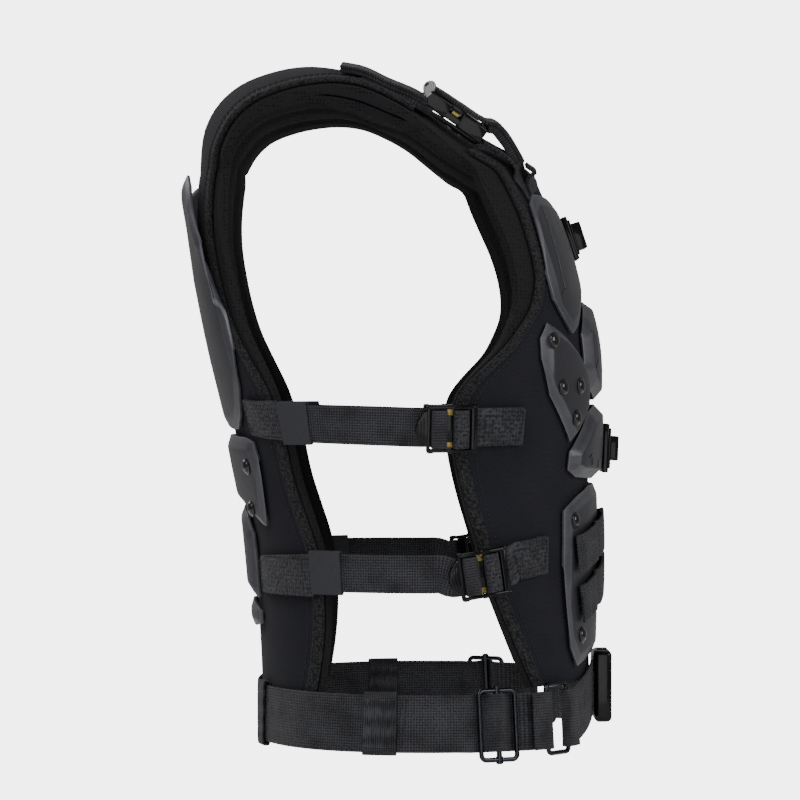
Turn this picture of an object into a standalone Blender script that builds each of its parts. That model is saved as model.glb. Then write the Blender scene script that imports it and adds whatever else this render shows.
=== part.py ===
"""Tactical vest as it sits on a torso: pads, panels, armour plates, straps, buckles and belt.

Metres, +Z up. The front of the vest looks along -Y and the wearer's right side is at -X.
The origin lies midway between the shoulder straps, at the height of their undersides.
"""
import bpy
import bmesh
import math
import numpy as np
from mathutils import Matrix, Vector

# Webbing and wire sizes
WEB_THICK = 0.0016
STRAP_WIDTH = 0.0254
BELT_WIDTH = 0.0381
WIRE_RADIUS = 0.00165
SLEEVE_WALL = 0.0011
CLEAR = 0.0003

# Layers of the vest, as heights above the outer face of the panels
PANEL_THICK = 0.0030
PAD_TOP = -PANEL_THICK - 0.0004
PAD_THICK = 0.0064
BINDING_WIDTH = 0.0090
BINDING_TOP = 0.0008
PLATE_WALL = 0.0022
PLATE_RIM = PLATE_WALL + 0.0012
PLATE_SEAT = PLATE_WALL + 0.0004
WEB_TOP = 0.0042
WEB_SEWN = 0.0022
SEWN_LENGTH = 0.020

# Horizontal sections of the torso: height, half width, y of the side, front and back, roundness
TORSO = (
    # z, half_width, side_y, front_y, back_y, front_power, back_power
    (-0.460, 0.160, -0.062, -0.177, 0.049, 2.3, 2.3),
    (-0.400, 0.152, -0.063, -0.177, 0.049, 2.3, 2.3),
    (-0.360, 0.148, -0.063, -0.178, 0.051, 2.3, 2.3),
    (-0.310, 0.150, -0.060, -0.179, 0.054, 2.3, 2.3),
    (-0.260, 0.158, -0.054, -0.178, 0.061, 2.3, 2.4),
    (-0.210, 0.167, -0.050, -0.179, 0.072, 2.4, 2.6),
    (-0.165, 0.169, -0.047, -0.176, 0.082, 2.5, 2.8),
    (-0.120, 0.166, -0.042, -0.165, 0.090, 2.6, 3.0),
    (-0.080, 0.160, -0.036, -0.152, 0.093, 2.6, 3.2),
    (-0.040, 0.150, -0.032, -0.134, 0.089, 2.6, 3.2),
    (-0.020, 0.140, -0.028, -0.124, 0.082, 2.6, 3.2),
)

# The vest's cloth from the front hem up to the shoulder, girths from the centre line
FRONT_ROWS = (
    # z, neck_girth, arm_girth, arm_setback
    (-0.398, 0.000, 0.134, 0.000),
    (-0.365, 0.000, 0.151, 0.000),
    (-0.334, 0.000, 0.166, 0.000),
    (-0.304, 0.000, 0.178, 0.000),
    (-0.272, 0.000, 0.191, 0.000),
    (-0.240, 0.000, 0.203, 0.000),
    (-0.222, 0.000, 0.208, 0.000),
    (-0.206, 0.000, 0.207, 0.000),
    (-0.194, 0.000, 0.199, 0.000),
    (-0.184, 0.000, 0.189, 0.001),
    (-0.174, 0.000, 0.178, 0.002),
    (-0.160, 0.000, 0.167, 0.006),
    (-0.145, 0.000, 0.156, 0.011),
    (-0.125, 0.000, 0.149, 0.018),
    (-0.098, 0.000, 0.147, 0.021),
    (-0.082, 0.000, 0.148, 0.024),
    (-0.068, 0.000, 0.148, 0.023),
    (-0.060, 0.035, 0.147, 0.021),
    (-0.052, 0.058, 0.146, 0.017),
)

# The strap over the right shoulder, from front to back
SHOULDER_ROWS = (
    # neck_x, neck_y, neck_z, arm_x, arm_y, arm_z, arm_setback
    (-0.072, -0.118, -0.0410, -0.1410, -0.0885, -0.0415, 0.009),
    (-0.082, -0.090, -0.0260, -0.1435, -0.0725, -0.0280, 0.004),
    (-0.087, -0.062, -0.0060, -0.1460, -0.0565, -0.0150, 0.003),
    (-0.090, -0.040, 0.0036, -0.1480, -0.0400, -0.0055, 0.003),
    (-0.092, -0.019, 0.0124, -0.1490, -0.0225, 0.0015, 0.003),
    (-0.093, 0.002, 0.0170, -0.1490, -0.0030, 0.0039, 0.003),
    (-0.0925, 0.022, 0.0174, -0.1480, 0.0185, 0.0017, 0.003),
    (-0.091, 0.041, 0.0136, -0.1450, 0.0355, -0.0028, 0.003),
    (-0.088, 0.061, 0.0056, -0.1400, 0.0530, -0.0110, 0.004),
    (-0.084, 0.0755, -0.0065, -0.1330, 0.0656, -0.0236, 0.005),
    (-0.076, 0.0855, -0.0235, -0.1250, 0.0737, -0.0397, 0.006),
)
SHOULDER_BOW = 0.002
PANEL_COLUMNS = 6
FRONT_PANEL_END = 1
BACK_PANEL_START = 2

BACK_ROWS = (
    # z, neck_girth, arm_girth, arm_setback
    (-0.050, 0.050, 0.117, 0.008),
    (-0.058, 0.000, 0.117, 0.009),
    (-0.074, 0.000, 0.117, 0.009),
    (-0.096, 0.000, 0.117, 0.009),
    (-0.118, 0.000, 0.118, 0.008),
    (-0.138, 0.000, 0.120, 0.007),
    (-0.159, 0.000, 0.124, 0.005),
    (-0.180, 0.000, 0.133, 0.003),
    (-0.200, 0.000, 0.140, 0.000),
    (-0.217, 0.000, 0.141, 0.000),
    (-0.234, 0.000, 0.140, 0.000),
    (-0.263, 0.000, 0.135, 0.000),
    (-0.287, 0.000, 0.137, 0.000),
    (-0.307, 0.000, 0.140, 0.000),
    (-0.336, 0.000, 0.141, 0.000),
    (-0.360, 0.000, 0.140, 0.000),
    (-0.384, 0.000, 0.137, 0.000),
    (-0.408, 0.000, 0.132, 0.000),
)

# Armour plates, each as sections at a girth from the centre line with a top and a bottom
CHEST_PLATE = (
    # girth, top_z, low_z
    (0.000, -0.076, -0.134),
    (0.040, -0.074, -0.136),
    (0.070, -0.071, -0.146),
    (0.088, -0.070, -0.157),
    (0.103, -0.070, -0.163),
    (0.111, -0.076, -0.156),
    (0.118, -0.100, -0.148),
    (0.123, -0.122, -0.141),
)
STERNUM_PLATE = (
    (0.000, -0.138, -0.207),
    (0.034, -0.140, -0.207),
    (0.062, -0.150, -0.200),
    (0.080, -0.162, -0.186),
)
RIB_PLATE = (
    (0.078, -0.194, -0.210),
    (0.094, -0.177, -0.227),
    (0.104, -0.170, -0.235),
    (0.120, -0.162, -0.220),
    (0.136, -0.156, -0.204),
    (0.145, -0.166, -0.180),
)
LOWER_CHEST_PLATE = (
    (0.000, -0.210, -0.261),
    (0.040, -0.210, -0.261),
    (0.070, -0.215, -0.260),
    (0.090, -0.231, -0.259),
    (0.103, -0.241, -0.254),
)
ABDOMEN_PLATE = (
    (0.000, -0.265, -0.380),
    (0.034, -0.265, -0.380),
    (0.058, -0.265, -0.382),
    (0.084, -0.271, -0.387),
    (0.095, -0.275, -0.374),
    (0.102, -0.278, -0.345),
    (0.107, -0.281, -0.318),
)
UPPER_BACK_PLATE = (
    (0.000, -0.066, -0.222),
    (0.040, -0.061, -0.224),
    (0.070, -0.055, -0.226),
    (0.086, -0.062, -0.226),
    (0.100, -0.084, -0.216),
    (0.112, -0.100, -0.196),
    (0.119, -0.134, -0.172),
)
MID_BACK_PLATE = (
    (0.000, -0.230, -0.274),
    (0.030, -0.230, -0.276),
    (0.060, -0.230, -0.280),
    (0.086, -0.231, -0.290),
    (0.093, -0.231, -0.292),
    (0.100, -0.232, -0.270),
    (0.107, -0.234, -0.246),
)
LOWER_BACK_PLATE = (
    (0.000, -0.279, -0.338),
    (0.040, -0.284, -0.340),
    (0.057, -0.297, -0.342),
)
TAIL_PLATE = (
    (0.000, -0.344, -0.362),
    (0.040, -0.346, -0.362),
    (0.060, -0.350, -0.360),
)
PLATE_BEVEL = 0.007

# Load bands across the abdomen plate
LOAD_BANDS = (
    # name, half_girth, centre_z, side_z
    ("load_band_upper", 0.097, -0.295, -0.311),
    ("load_band_lower", 0.089, -0.325, -0.345),
)

# Side straps: heights where they leave the back, pass the side and reach the front
SIDE_STRAPS = (
    # name, back_girth, back_z, side_z, front_z, tab_z, keeper_from, keeper_to, buckle_girth,
    # tab_end
    ("upper", 0.109, -0.218, -0.222, -0.2245, -0.2240, 0.150, 0.172, 0.2130, 0.157),
    ("lower", 0.067, -0.325, -0.321, -0.3215, -0.3100, 0.137, 0.160, 0.1800, 0.124),
)
BUCKLE_WIDTH = 0.0310
BUCKLE_THICK = 0.0044
BUCKLE_BASE = 0.0056
TAB_RADIUS = 0.0125
# Places along a side buckle, measured forwards from its middle
BUCKLE_REAR, BUCKLE_FRONT = -0.0130, 0.0204
REAR_SLOT = (-0.0108, -0.0072)
MIDDLE_WINDOW = (-0.0006, 0.0058)
FRONT_SLOT = (0.0126, 0.0162)
TAB_CENTRE = -0.0079

# Waist belt
BELT_Z = -0.420
BELT_LIFT = 0.0022
RING_FRONT, RING_REAR = 0.1095, 0.1330
RING_TOP, RING_LOW = -0.3965, -0.4422
SLIDER_FRONT, SLIDER_REAR = 0.1575, 0.1835
SLIDER_TOP, SLIDER_LOW = -0.3989, -0.4442
RING_LIFT = 0.0066
FOLD_BACK = 0.014
LOOP_CORNER = 0.0026
BAR_OVERHANG = 0.0030
BAR_RADIUS = 0.0018
FRONT_BUCKLE_Z = -0.405
FRONT_BELT_END = 0.024
FRONT_BELT_RISE = 0.0010

# Colours of the slots
COLOURS = {
    # name: (red, green, blue, metallic, roughness)
    "pad_knit": (0.030, 0.030, 0.034, 0.0, 0.95),
    "panel_fabric": (0.020, 0.020, 0.026, 0.0, 0.90),
    "binding_tape": (0.045, 0.045, 0.048, 0.0, 0.90),
    "armour_plate": (0.040, 0.040, 0.046, 0.0, 0.45),
    "webbing": (0.035, 0.035, 0.038, 0.0, 0.85),
    "buckle_plastic": (0.015, 0.015, 0.016, 0.0, 0.35),
    "wire_steel": (0.080, 0.080, 0.085, 1.0, 0.35),
}


def clear_scene():
    for old in list(bpy.data.objects):
        bpy.data.objects.remove(old, do_unlink=True)


def new_collection(name):
    made = bpy.data.collections.new(name)
    bpy.context.scene.collection.children.link(made)
    return made


def material(node_name, slot):
    red, green, blue, metallic, roughness = COLOURS[slot]
    made = bpy.data.materials.new(node_name + "_" + slot)
    made.use_nodes = True
    shader = made.node_tree.nodes["Principled BSDF"]
    shader.inputs["Base Color"].default_value = (red, green, blue, 1.0)
    shader.inputs["Metallic"].default_value = metallic
    shader.inputs["Roughness"].default_value = roughness
    made.diffuse_color = (red, green, blue, 1.0)
    return made


def smooth_column(table, column, z):
    """Value of a column at height z, with slopes that keep the sections fair."""
    zs = np.array([row[0] for row in table])
    values = np.array([row[column] for row in table])
    slopes = np.gradient(values, zs)
    k = int(np.clip(np.searchsorted(zs, z) - 1, 0, len(zs) - 2))
    step = zs[k + 1] - zs[k]
    t = min(max((z - zs[k]) / step, 0.0), 1.0)
    a = 2 * t**3 - 3 * t**2 + 1
    b = t**3 - 2 * t**2 + t
    c = t**3 - t**2
    return a * values[k] + b * step * slopes[k] + (1 - a) * values[k + 1] + c * step * slopes[k + 1]


ANGLES = np.linspace(0.0, math.pi, 721)
SECTION_CACHE = {}


def section(z):
    """Half of the torso's outline at height z, from the front centre to the back centre."""
    key = round(z, 6)
    if key not in SECTION_CACHE:
        half, side, front, back, front_power, back_power = (
            smooth_column(TORSO, column, z) for column in range(1, 7))
        cosine = np.cos(ANGLES)
        sine = np.abs(np.sin(ANGLES))
        power = np.where(cosine >= 0, front_power, back_power)
        x = -half * sine ** (2 / power)
        y = side + np.where(cosine >= 0, front - side, back - side) * np.abs(cosine) ** (2 / power)
        steps = np.hypot(np.diff(x), np.diff(y))
        SECTION_CACHE[key] = (x, y, np.concatenate(([0.0], np.cumsum(steps))))
    return SECTION_CACHE[key]


def torso_spot(girth, z, from_back):
    x, y, length = section(z)
    along = length[-1] - girth if from_back else girth
    return np.array((np.interp(along, length, x), np.interp(along, length, y), z))


def torso_frame(girth, z, from_back=False):
    """Point, outward normal, level tangent away from the centre line, and the slope upwards."""
    small = 0.0015
    here = torso_spot(girth, z, from_back)
    low = max(girth - small, 0.0)
    level = torso_spot(girth + small, z, from_back) - torso_spot(low, z, from_back)
    if low == 0.0:
        level[1] = 0.0
    level = level / np.linalg.norm(level)
    rise = torso_spot(girth, z + small, from_back) - torso_spot(girth, z - small, from_back)
    rise = rise - level * np.dot(rise, level)
    rise = rise / np.linalg.norm(rise)
    out = np.cross(level, rise)
    if np.dot(out[:2], here[:2] - np.array((0.0, -0.05))) < 0:
        out = -out
    if girth < 1e-6:
        out[0] = 0.0
        out = out / np.linalg.norm(out)
    return here, out, level, rise


def on_torso(girth, z, lift, from_back=False):
    here, out, _, _ = torso_frame(girth, z, from_back)
    return here + out * lift, out


def shoulder_curve(row, count):
    neck = np.array(row[0:3])
    arm = np.array(row[3:6])
    points = []
    for t in np.linspace(0.0, 1.0, count):
        point = neck + (arm - neck) * t
        point[2] += SHOULDER_BOW * math.sin(math.pi * t)
        points.append(point)
    return np.array(points)


FINE = 41


def cloth_rows():
    """All rows of the cloth from the front hem to the back hem, as fine curves."""
    rows = []
    setbacks = []
    for z, neck, arm, setback in FRONT_ROWS:
        rows.append(np.array([torso_spot(g, z, False) for g in np.linspace(neck, arm, FINE)]))
        setbacks.append(setback)
    for row in SHOULDER_ROWS:
        rows.append(shoulder_curve(row, FINE))
        setbacks.append(row[6])
    for z, neck, arm, setback in BACK_ROWS:
        rows.append(np.array([torso_spot(g, z, True) for g in np.linspace(neck, arm, FINE)]))
        setbacks.append(setback)
    return np.array(rows), np.array(setbacks)


def grid_normals(grid):
    """Outward normals of a grid of rows, level at the centre line."""
    down = np.gradient(grid, axis=0)
    across = np.gradient(grid, axis=1)
    normals = np.cross(across, down)
    normals /= np.linalg.norm(normals, axis=2)[:, :, None]
    middle = np.array((0.0, -0.05, -0.15))
    if np.sum(normals * (grid - middle)) < 0:
        normals = -normals
    centre = np.abs(grid[:, :, 0]) < 1e-9
    normals[centre, 0] = 0.0
    normals /= np.linalg.norm(normals, axis=2)[:, :, None]
    return normals


CLOTH, SETBACKS = cloth_rows()
CLOTH_NORMALS = grid_normals(CLOTH)
FIRST_SHOULDER = len(FRONT_ROWS)
LAST_ROW = len(CLOTH) - 1


def cloth_at(row, inset, lift):
    """Point on a cloth row at a distance in from its arm edge."""
    curve = CLOTH[row]
    steps = np.linalg.norm(np.diff(curve, axis=0), axis=1)
    length = np.concatenate(([0.0], np.cumsum(steps)))
    along = length[-1] - inset
    point = np.array([np.interp(along, length, curve[:, k]) for k in range(3)])
    normal = np.array([np.interp(along, length, CLOTH_NORMALS[row][:, k]) for k in range(3)])
    normal /= np.linalg.norm(normal)
    return point + normal * lift, normal


def panel_insets(row):
    """Distances in from the arm edge of the panel's columns on a row."""
    whole = np.linalg.norm(np.diff(CLOTH[row], axis=0), axis=1).sum()
    near = SETBACKS[row] + BINDING_WIDTH + CLEAR
    return list(np.linspace(whole, near, PANEL_COLUMNS))


def cloth_patch(first, last, lift, to_edge):
    """Grid over some rows of the cloth, up to the binding or on to the arm edge."""
    points, normals = [], []
    for row in range(first, last + 1):
        insets = panel_insets(row)
        if to_edge:
            insets.append(0.0)
        spots = [cloth_at(row, inset, lift) for inset in insets]
        points.append([spot[0] for spot in spots])
        normals.append([spot[1] for spot in spots])
    return np.array(points), np.array(normals)


def flipped(points, side):
    """A copy on the wearer's other side where side is left."""
    turned = np.array(points, dtype=float)
    if side == "left":
        turned[..., 0] = -turned[..., 0]
    return turned


def grid_object(name, collection, points, normals, slot, wrap=False):
    """Open surface through a grid of points, with its faces turned along the normals."""
    rows, columns = points.shape[:2]
    vertices = [tuple(p) for p in points.reshape(-1, 3)]
    faces = []
    last = columns if wrap else columns - 1
    for i in range(rows - 1):
        for j in range(last):
            k = (j + 1) % columns
            near, far = i * columns, (i + 1) * columns
            faces.append((near + j, near + k, far + k, far + j))
    mesh = bpy.data.meshes.new(name)
    mesh.from_pydata(vertices, [], faces)
    mesh.update()
    flat = normals.reshape(-1, 3)
    match = sum(np.dot(face.normal, flat[face.vertices[0]]) for face in mesh.polygons)
    if match < 0:
        mesh.flip_normals()
    mesh.shade_smooth()
    made = bpy.data.objects.new(name, mesh)
    collection.objects.link(made)
    mesh.materials.append(material(name, slot))
    return made


def add_mirror(made):
    mirror = made.modifiers.new("Mirror", "MIRROR")
    mirror.use_axis = (True, False, False)
    mirror.use_clip = True
    mirror.merge_threshold = 0.0001


def add_solidify(made, thickness):
    wall = made.modifiers.new("Solidify", "SOLIDIFY")
    wall.thickness = thickness
    wall.offset = -1.0
    wall.use_even_offset = False


def add_bevel(made, width, segments=1):
    edge = made.modifiers.new("Bevel", "BEVEL")
    edge.width = width
    edge.segments = segments
    edge.limit_method = "ANGLE"
    edge.angle_limit = math.radians(40)


def make_pad(collection):
    points, normals = cloth_patch(0, LAST_ROW, PAD_TOP, True)
    pad = grid_object("inner_pad", collection, points, normals, "pad_knit")
    add_mirror(pad)
    add_solidify(pad, PAD_THICK)


def make_panels(collection):
    front_last = FIRST_SHOULDER + FRONT_PANEL_END - 1
    back_first = FIRST_SHOULDER + BACK_PANEL_START
    for name, first, last in (("front_panel", 0, front_last), ("back_panel", back_first, LAST_ROW)):
        points, normals = cloth_patch(first, last, 0.0, False)
        panel = grid_object(name, collection, points, normals, "panel_fabric")
        add_mirror(panel)
        add_solidify(panel, PANEL_THICK)


def make_bindings(collection):
    front_last = FIRST_SHOULDER + FRONT_PANEL_END - 1
    back_first = FIRST_SHOULDER + BACK_PANEL_START
    for name, first, last in (("front_binding", 0, front_last), ("back_binding", back_first, LAST_ROW)):
        for side in ("right", "left"):
            points, normals = [], []
            for row in range(first, last + 1):
                spots = [cloth_at(row, SETBACKS[row] + inset, lift) for inset, lift in (
                    (BINDING_WIDTH, 0.2 * BINDING_TOP), (0.5 * BINDING_WIDTH, BINDING_TOP), (0.0, -0.0006))]
                points.append([spot[0] for spot in spots])
                normals.append([spot[1] for spot in spots])
            tape = grid_object("%s_%s" % (name, side), collection, flipped(points, side),
                               flipped(normals, side), "binding_tape")
            add_solidify(tape, PANEL_THICK - 0.0005)


def plate_grid(table, from_back, rim, lift, flare=0.0):
    """Plate surface: low at its rim, raised inside a bevel all round, with its top edge flared."""
    outer = table[-1][0]
    points, normals = [], []
    for girth, top, low in table:
        height = top - low
        bevel = min(PLATE_BEVEL, 0.35 * height)
        upper = top - bevel - 0.18 * (height - 2 * bevel)
        levels = (top, top - bevel, upper, 0.5 * (top + low), low + bevel, low)
        side_rise = min((outer - girth) / PLATE_BEVEL, 1.0)
        row_points, row_normals = [], []
        for z, edge, flared in zip(levels, (0, 1, 1, 1, 1, 0), (0.9, 1.0, 0.2, 0, 0, 0)):
            raised = lift * side_rise * edge + flare * flared
            point, normal = on_torso(girth, z, rim + raised, from_back)
            row_points.append(point)
            row_normals.append(normal)
        points.append(row_points)
        normals.append(row_normals)
    return np.array(points), np.array(normals)


def make_plates(collection):
    central = (
        # name, table, from_back, rim, lift, flare
        ("chest_plate", CHEST_PLATE, False, PLATE_RIM, 0.0016, 0.0),
        ("sternum_plate", STERNUM_PLATE, False, PLATE_SEAT, 0.0060, 0.0),
        ("lower_chest_plate", LOWER_CHEST_PLATE, False, PLATE_SEAT, 0.0064, 0.0),
        ("abdomen_plate", ABDOMEN_PLATE, False, PLATE_RIM, 0.0026, 0.0),
        ("upper_back_plate", UPPER_BACK_PLATE, True, PLATE_RIM, 0.0016, 0.0065),
        ("mid_back_plate", MID_BACK_PLATE, True, PLATE_RIM, 0.0036, 0.0),
        ("lower_back_plate", LOWER_BACK_PLATE, True, PLATE_RIM, 0.0036, 0.0),
        ("tail_plate", TAIL_PLATE, True, PLATE_RIM, 0.0016, 0.0),
    )
    for name, table, from_back, rim, lift, flare in central:
        points, normals = plate_grid(table, from_back, rim, lift, flare)
        plate = grid_object(name, collection, points, normals, "armour_plate")
        add_mirror(plate)
        add_solidify(plate, PLATE_WALL)
    for side in ("right", "left"):
        points, normals = rib_grid()
        plate = grid_object("rib_plate_" + side, collection, flipped(points, side),
                            flipped(normals, side), "armour_plate")
        add_solidify(plate, PLATE_WALL)


def rib_grid():
    """Rib plate surface, low at its inner end too."""
    points, normals = plate_grid(RIB_PLATE, False, PLATE_SEAT, 0.0044)
    girth, top, low = RIB_PLATE[0]
    for j, z in enumerate(np.linspace(top, low, 6)):
        points[0][j], normals[0][j] = on_torso(girth, z, PLATE_SEAT)
    return points, normals


def ribbon(name, collection, centres, normals, acrosses, width, thickness=WEB_THICK,
           mirror=False):
    """Flat webbing along a line of centres on its outer face."""
    points, outs = [], []
    for centre, normal, across in zip(centres, normals, acrosses):
        points.append([centre - across * width / 2, centre + across * width / 2])
        outs.append([normal] * 2)
    strap = grid_object(name, collection, np.array(points), np.array(outs), "webbing")
    if mirror:
        add_mirror(strap)
    add_solidify(strap, thickness)


def lie(girth, z, lift, from_back=False):
    """Spot of a ribbon that follows the torso: its point, outward normal and way across."""
    here, out, _, rise = torso_frame(girth, z, from_back)
    return here + out * lift, out, rise


def pass_by(frame, forward, lift):
    """Spot of a ribbon that passes through flat hardware, in the plane of the hardware."""
    here, along, across, out = frame
    return here - along * forward + out * lift, out, across


def spots_ribbon(name, collection, spots, side, width, mirror=False):
    """Webbing through spots of points, outward normals and ways across."""
    centres = np.array([spot[0] for spot in spots])
    facing = np.array([spot[1] for spot in spots])
    tangents = np.gradient(centres, axis=0)
    outs = np.cross(tangents, np.array([spot[2] for spot in spots]))
    outs /= np.linalg.norm(outs, axis=1)[:, None]
    if np.sum(outs * facing) < 0:
        outs = -outs
    acrosses = np.cross(outs, tangents)
    acrosses /= np.linalg.norm(acrosses, axis=1)[:, None]
    if mirror:
        acrosses[0] = (0.0, 0.0, math.copysign(1.0, acrosses[1][2]))
        outs[0] = (0.0, math.copysign(1.0, outs[0][1]), 0.0)
    ribbon(name, collection, flipped(centres, side), flipped(outs, side), flipped(acrosses, side), width,
           mirror=mirror)


def make_load_bands(collection):
    for name, half_girth, centre_z, side_z in LOAD_BANDS:
        spots = []
        for part in np.linspace(0.0, 1.0, 7):
            z = centre_z + (side_z - centre_z) * part ** 1.5
            lift = PLATE_RIM + 0.0026 + WEB_THICK + 0.0010
            spots.append(lie(half_girth * part, z, lift))
        spots_ribbon(name, collection, spots, "right", STRAP_WIDTH, mirror=True)


def sleeve(name, collection, girths, z, half_width, low, high, from_back, side):
    """Closed sleeve of webbing round a strap."""
    round_off = 0.0012
    outline = (
        (-half_width, low + round_off), (-half_width, high - round_off),
        (-half_width + round_off, high), (half_width - round_off, high),
        (half_width, high - round_off), (half_width, low + round_off),
        (half_width - round_off, low), (-half_width + round_off, low),
    )
    points, normals = [], []
    middle = 0.5 * (low + high)
    for girth in girths:
        here, out, _, upward = torso_frame(girth, z, from_back)
        row, turned = [], []
        for across, lift in outline:
            row.append(here + out * lift + upward * across)
            turned.append(out * (lift - middle) * 8 + upward * across)
        points.append(row)
        normals.append(turned)
    made = grid_object(name, collection, flipped(points, side), flipped(normals, side), "webbing",
                       wrap=True)
    add_solidify(made, SLEEVE_WALL)


def frame_matrix(centre, along, across, out):
    matrix = Matrix.Identity(4)
    for column, axis in enumerate((along, across, out)):
        for row in range(3):
            matrix[row][column] = float(axis[row])
    for row in range(3):
        matrix[row][3] = float(centre[row])
    return matrix


def block(name, collection, centre, axes, size, slot, bevel=0.0008, segments=1):
    """Box of a given length, width and thickness along three axes."""
    mesh = bpy.data.meshes.new(name)
    shape = bmesh.new()
    bmesh.ops.create_cube(shape, size=1.0)
    bmesh.ops.scale(shape, vec=Vector(size), verts=shape.verts)
    bmesh.ops.transform(shape, matrix=frame_matrix(centre, *axes), verts=shape.verts)
    bmesh.ops.recalc_face_normals(shape, faces=shape.faces)
    shape.to_mesh(mesh)
    shape.free()
    made = bpy.data.objects.new(name, mesh)
    collection.objects.link(made)
    if slot:
        mesh.materials.append(material(name, slot))
    if bevel:
        add_bevel(made, bevel, segments)
    return made


def hide_cutter(cutter):
    cutter.hide_render = True
    cutter.display_type = "WIRE"


def boolean(made, other, operation):
    change = made.modifiers.new(operation.title(), "BOOLEAN")
    change.operation = operation
    change.solver = "EXACT"
    change.object = other


def buckle_frame(girth, z, tilt=0.0):
    """Middle of flat hardware, and its axes towards the back, upwards and outwards."""
    here, out, level, rise = torso_frame(girth, z)
    along = level * math.cos(tilt) - rise * math.sin(tilt)
    along = along - out * np.dot(along, out)
    along /= np.linalg.norm(along)
    across = np.cross(out, along)
    if across[2] < 0:
        across = -across
    return here, along, across, out


def flip_axes(centre, axes, side):
    return flipped(centre, side), tuple(flipped(axis, side) for axis in axes)


def make_side_buckle(name, collection, cutters, frame, side):
    """Ladder buckle with slots for the webbing and a half-round thumb tab at the rear."""
    here, along, across, out = frame
    centre = here + out * (BUCKLE_BASE + BUCKLE_THICK / 2)
    middle = centre - along * 0.5 * (BUCKLE_REAR + BUCKLE_FRONT)
    body_centre, axes = flip_axes(middle, (along, across, out), side)
    size = (BUCKLE_FRONT - BUCKLE_REAR, BUCKLE_WIDTH, BUCKLE_THICK)
    body = block(name, collection, body_centre, axes, size, "buckle_plastic", bevel=0.0)
    tab_centre, _ = flip_axes(centre - along * TAB_CENTRE, (along, across, out), side)
    tab = half_disc(name + "_tab", cutters, tab_centre, axes, TAB_RADIUS, BUCKLE_THICK - 0.0012)
    boolean(body, tab, "UNION")
    for index, (rear, front) in enumerate((REAR_SLOT, MIDDLE_WINDOW, FRONT_SLOT)):
        slot_centre, _ = flip_axes(centre - along * 0.5 * (rear + front), (along, across, out), side)
        slot = block("%s_slot_%d" % (name, index), cutters, slot_centre, axes,
                     (front - rear, STRAP_WIDTH + 0.0014, 4 * BUCKLE_THICK), None, bevel=0.0)
        hide_cutter(slot)
        boolean(body, slot, "DIFFERENCE")


def half_disc(name, cutters, centre, axes, radius, thickness):
    mesh = bpy.data.meshes.new(name)
    shape = bmesh.new()
    bmesh.ops.create_cone(shape, cap_ends=True, segments=18, radius1=radius, radius2=radius, depth=thickness)
    bmesh.ops.transform(shape, matrix=frame_matrix(centre, *axes), verts=shape.verts)
    bmesh.ops.recalc_face_normals(shape, faces=shape.faces)
    shape.to_mesh(mesh)
    shape.free()
    made = bpy.data.objects.new(name, mesh)
    cutters.objects.link(made)
    hide_cutter(made)
    return made


def side_strap_height(row, girth_back, whole):
    """Height of a side strap at a girth from the back."""
    name, back_girth, back_z, side_z, front_z = row[:5]
    t = (girth_back - back_girth) / (whole - back_girth)
    t = min(max(t, 0.0), 1.0)
    if t < 0.5:
        return back_z + (side_z - back_z) * t * 2
    return side_z + (front_z - side_z) * (t - 0.5) * 2


def sewn_lift(distance):
    """Height of a strap that is sewn down at its end and rises from there."""
    return WEB_SEWN + (WEB_TOP - WEB_SEWN) * min(distance / SEWN_LENGTH, 1.0)


# Webbing that enters a buckle from one end: distance from the end slot's outer edge, height
BUCKLE_LAP = (
    (-0.0050, WEB_TOP),
    (-0.0010, WEB_TOP),
    (0.0006, WEB_TOP + 0.0003),
    (0.0009, BUCKLE_BASE + 0.7 * BUCKLE_THICK),
    (0.0018, BUCKLE_BASE + BUCKLE_THICK + 0.0015),
    (0.0040, BUCKLE_BASE + BUCKLE_THICK + 0.0022),
    (0.0098, BUCKLE_BASE + BUCKLE_THICK + 0.0022),
    (0.0122, BUCKLE_BASE + BUCKLE_THICK + 0.0012),
    (0.0128, BUCKLE_BASE + 0.2 * BUCKLE_THICK),
)


def make_side_straps(collection, cutters):
    for row in SIDE_STRAPS:
        name, back_girth, back_z, side_z, front_z, tab_z, keeper_from, keeper_to, buckle_girth, tab_end = row
        whole = section(side_z)[2][-1]
        tilt = math.atan2(tab_z - front_z, buckle_girth - tab_end) * 0.8
        frame = buckle_frame(buckle_girth, front_z, tilt)
        strap_end = whole - buckle_girth + REAR_SLOT[0] - 0.012
        strap = []
        for girth in np.linspace(back_girth, strap_end, 13):
            height = side_strap_height(row, girth, strap_end)
            strap.append(lie(girth, height, sewn_lift(girth - back_girth), True))
        strap += [pass_by(frame, REAR_SLOT[0] + inward, lift) for inward, lift in BUCKLE_LAP]
        tab_start_z = tab_z - 0.3 * (tab_z - front_z)
        front_end = buckle_girth - FRONT_SLOT[1] - 0.012
        tab = []
        for part in np.linspace(0.0, 1.0, 4):
            girth = tab_end + (front_end - tab_end) * part
            tab.append(lie(girth, tab_z + (tab_start_z - tab_z) * part, sewn_lift(girth - tab_end)))
        tab += [pass_by(frame, FRONT_SLOT[1] - inward, lift) for inward, lift in BUCKLE_LAP]
        middle = 0.5 * (keeper_from + keeper_to)
        for side in ("right", "left"):
            tag = "%s_%s" % (name, side)
            spots_ribbon("side_strap_" + tag, collection, strap, side, STRAP_WIDTH)
            spots_ribbon("side_tab_" + tag, collection, tab, side, STRAP_WIDTH)
            sleeve("side_keeper_" + tag, collection, (keeper_from, middle, keeper_to),
                   side_strap_height(row, middle, strap_end), STRAP_WIDTH / 2 + 0.0020,
                   WEB_TOP - WEB_THICK - 0.0014, WEB_TOP + 0.0017, True, side)
            make_side_buckle("side_buckle_" + tag, collection, cutters, frame, side)


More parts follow.
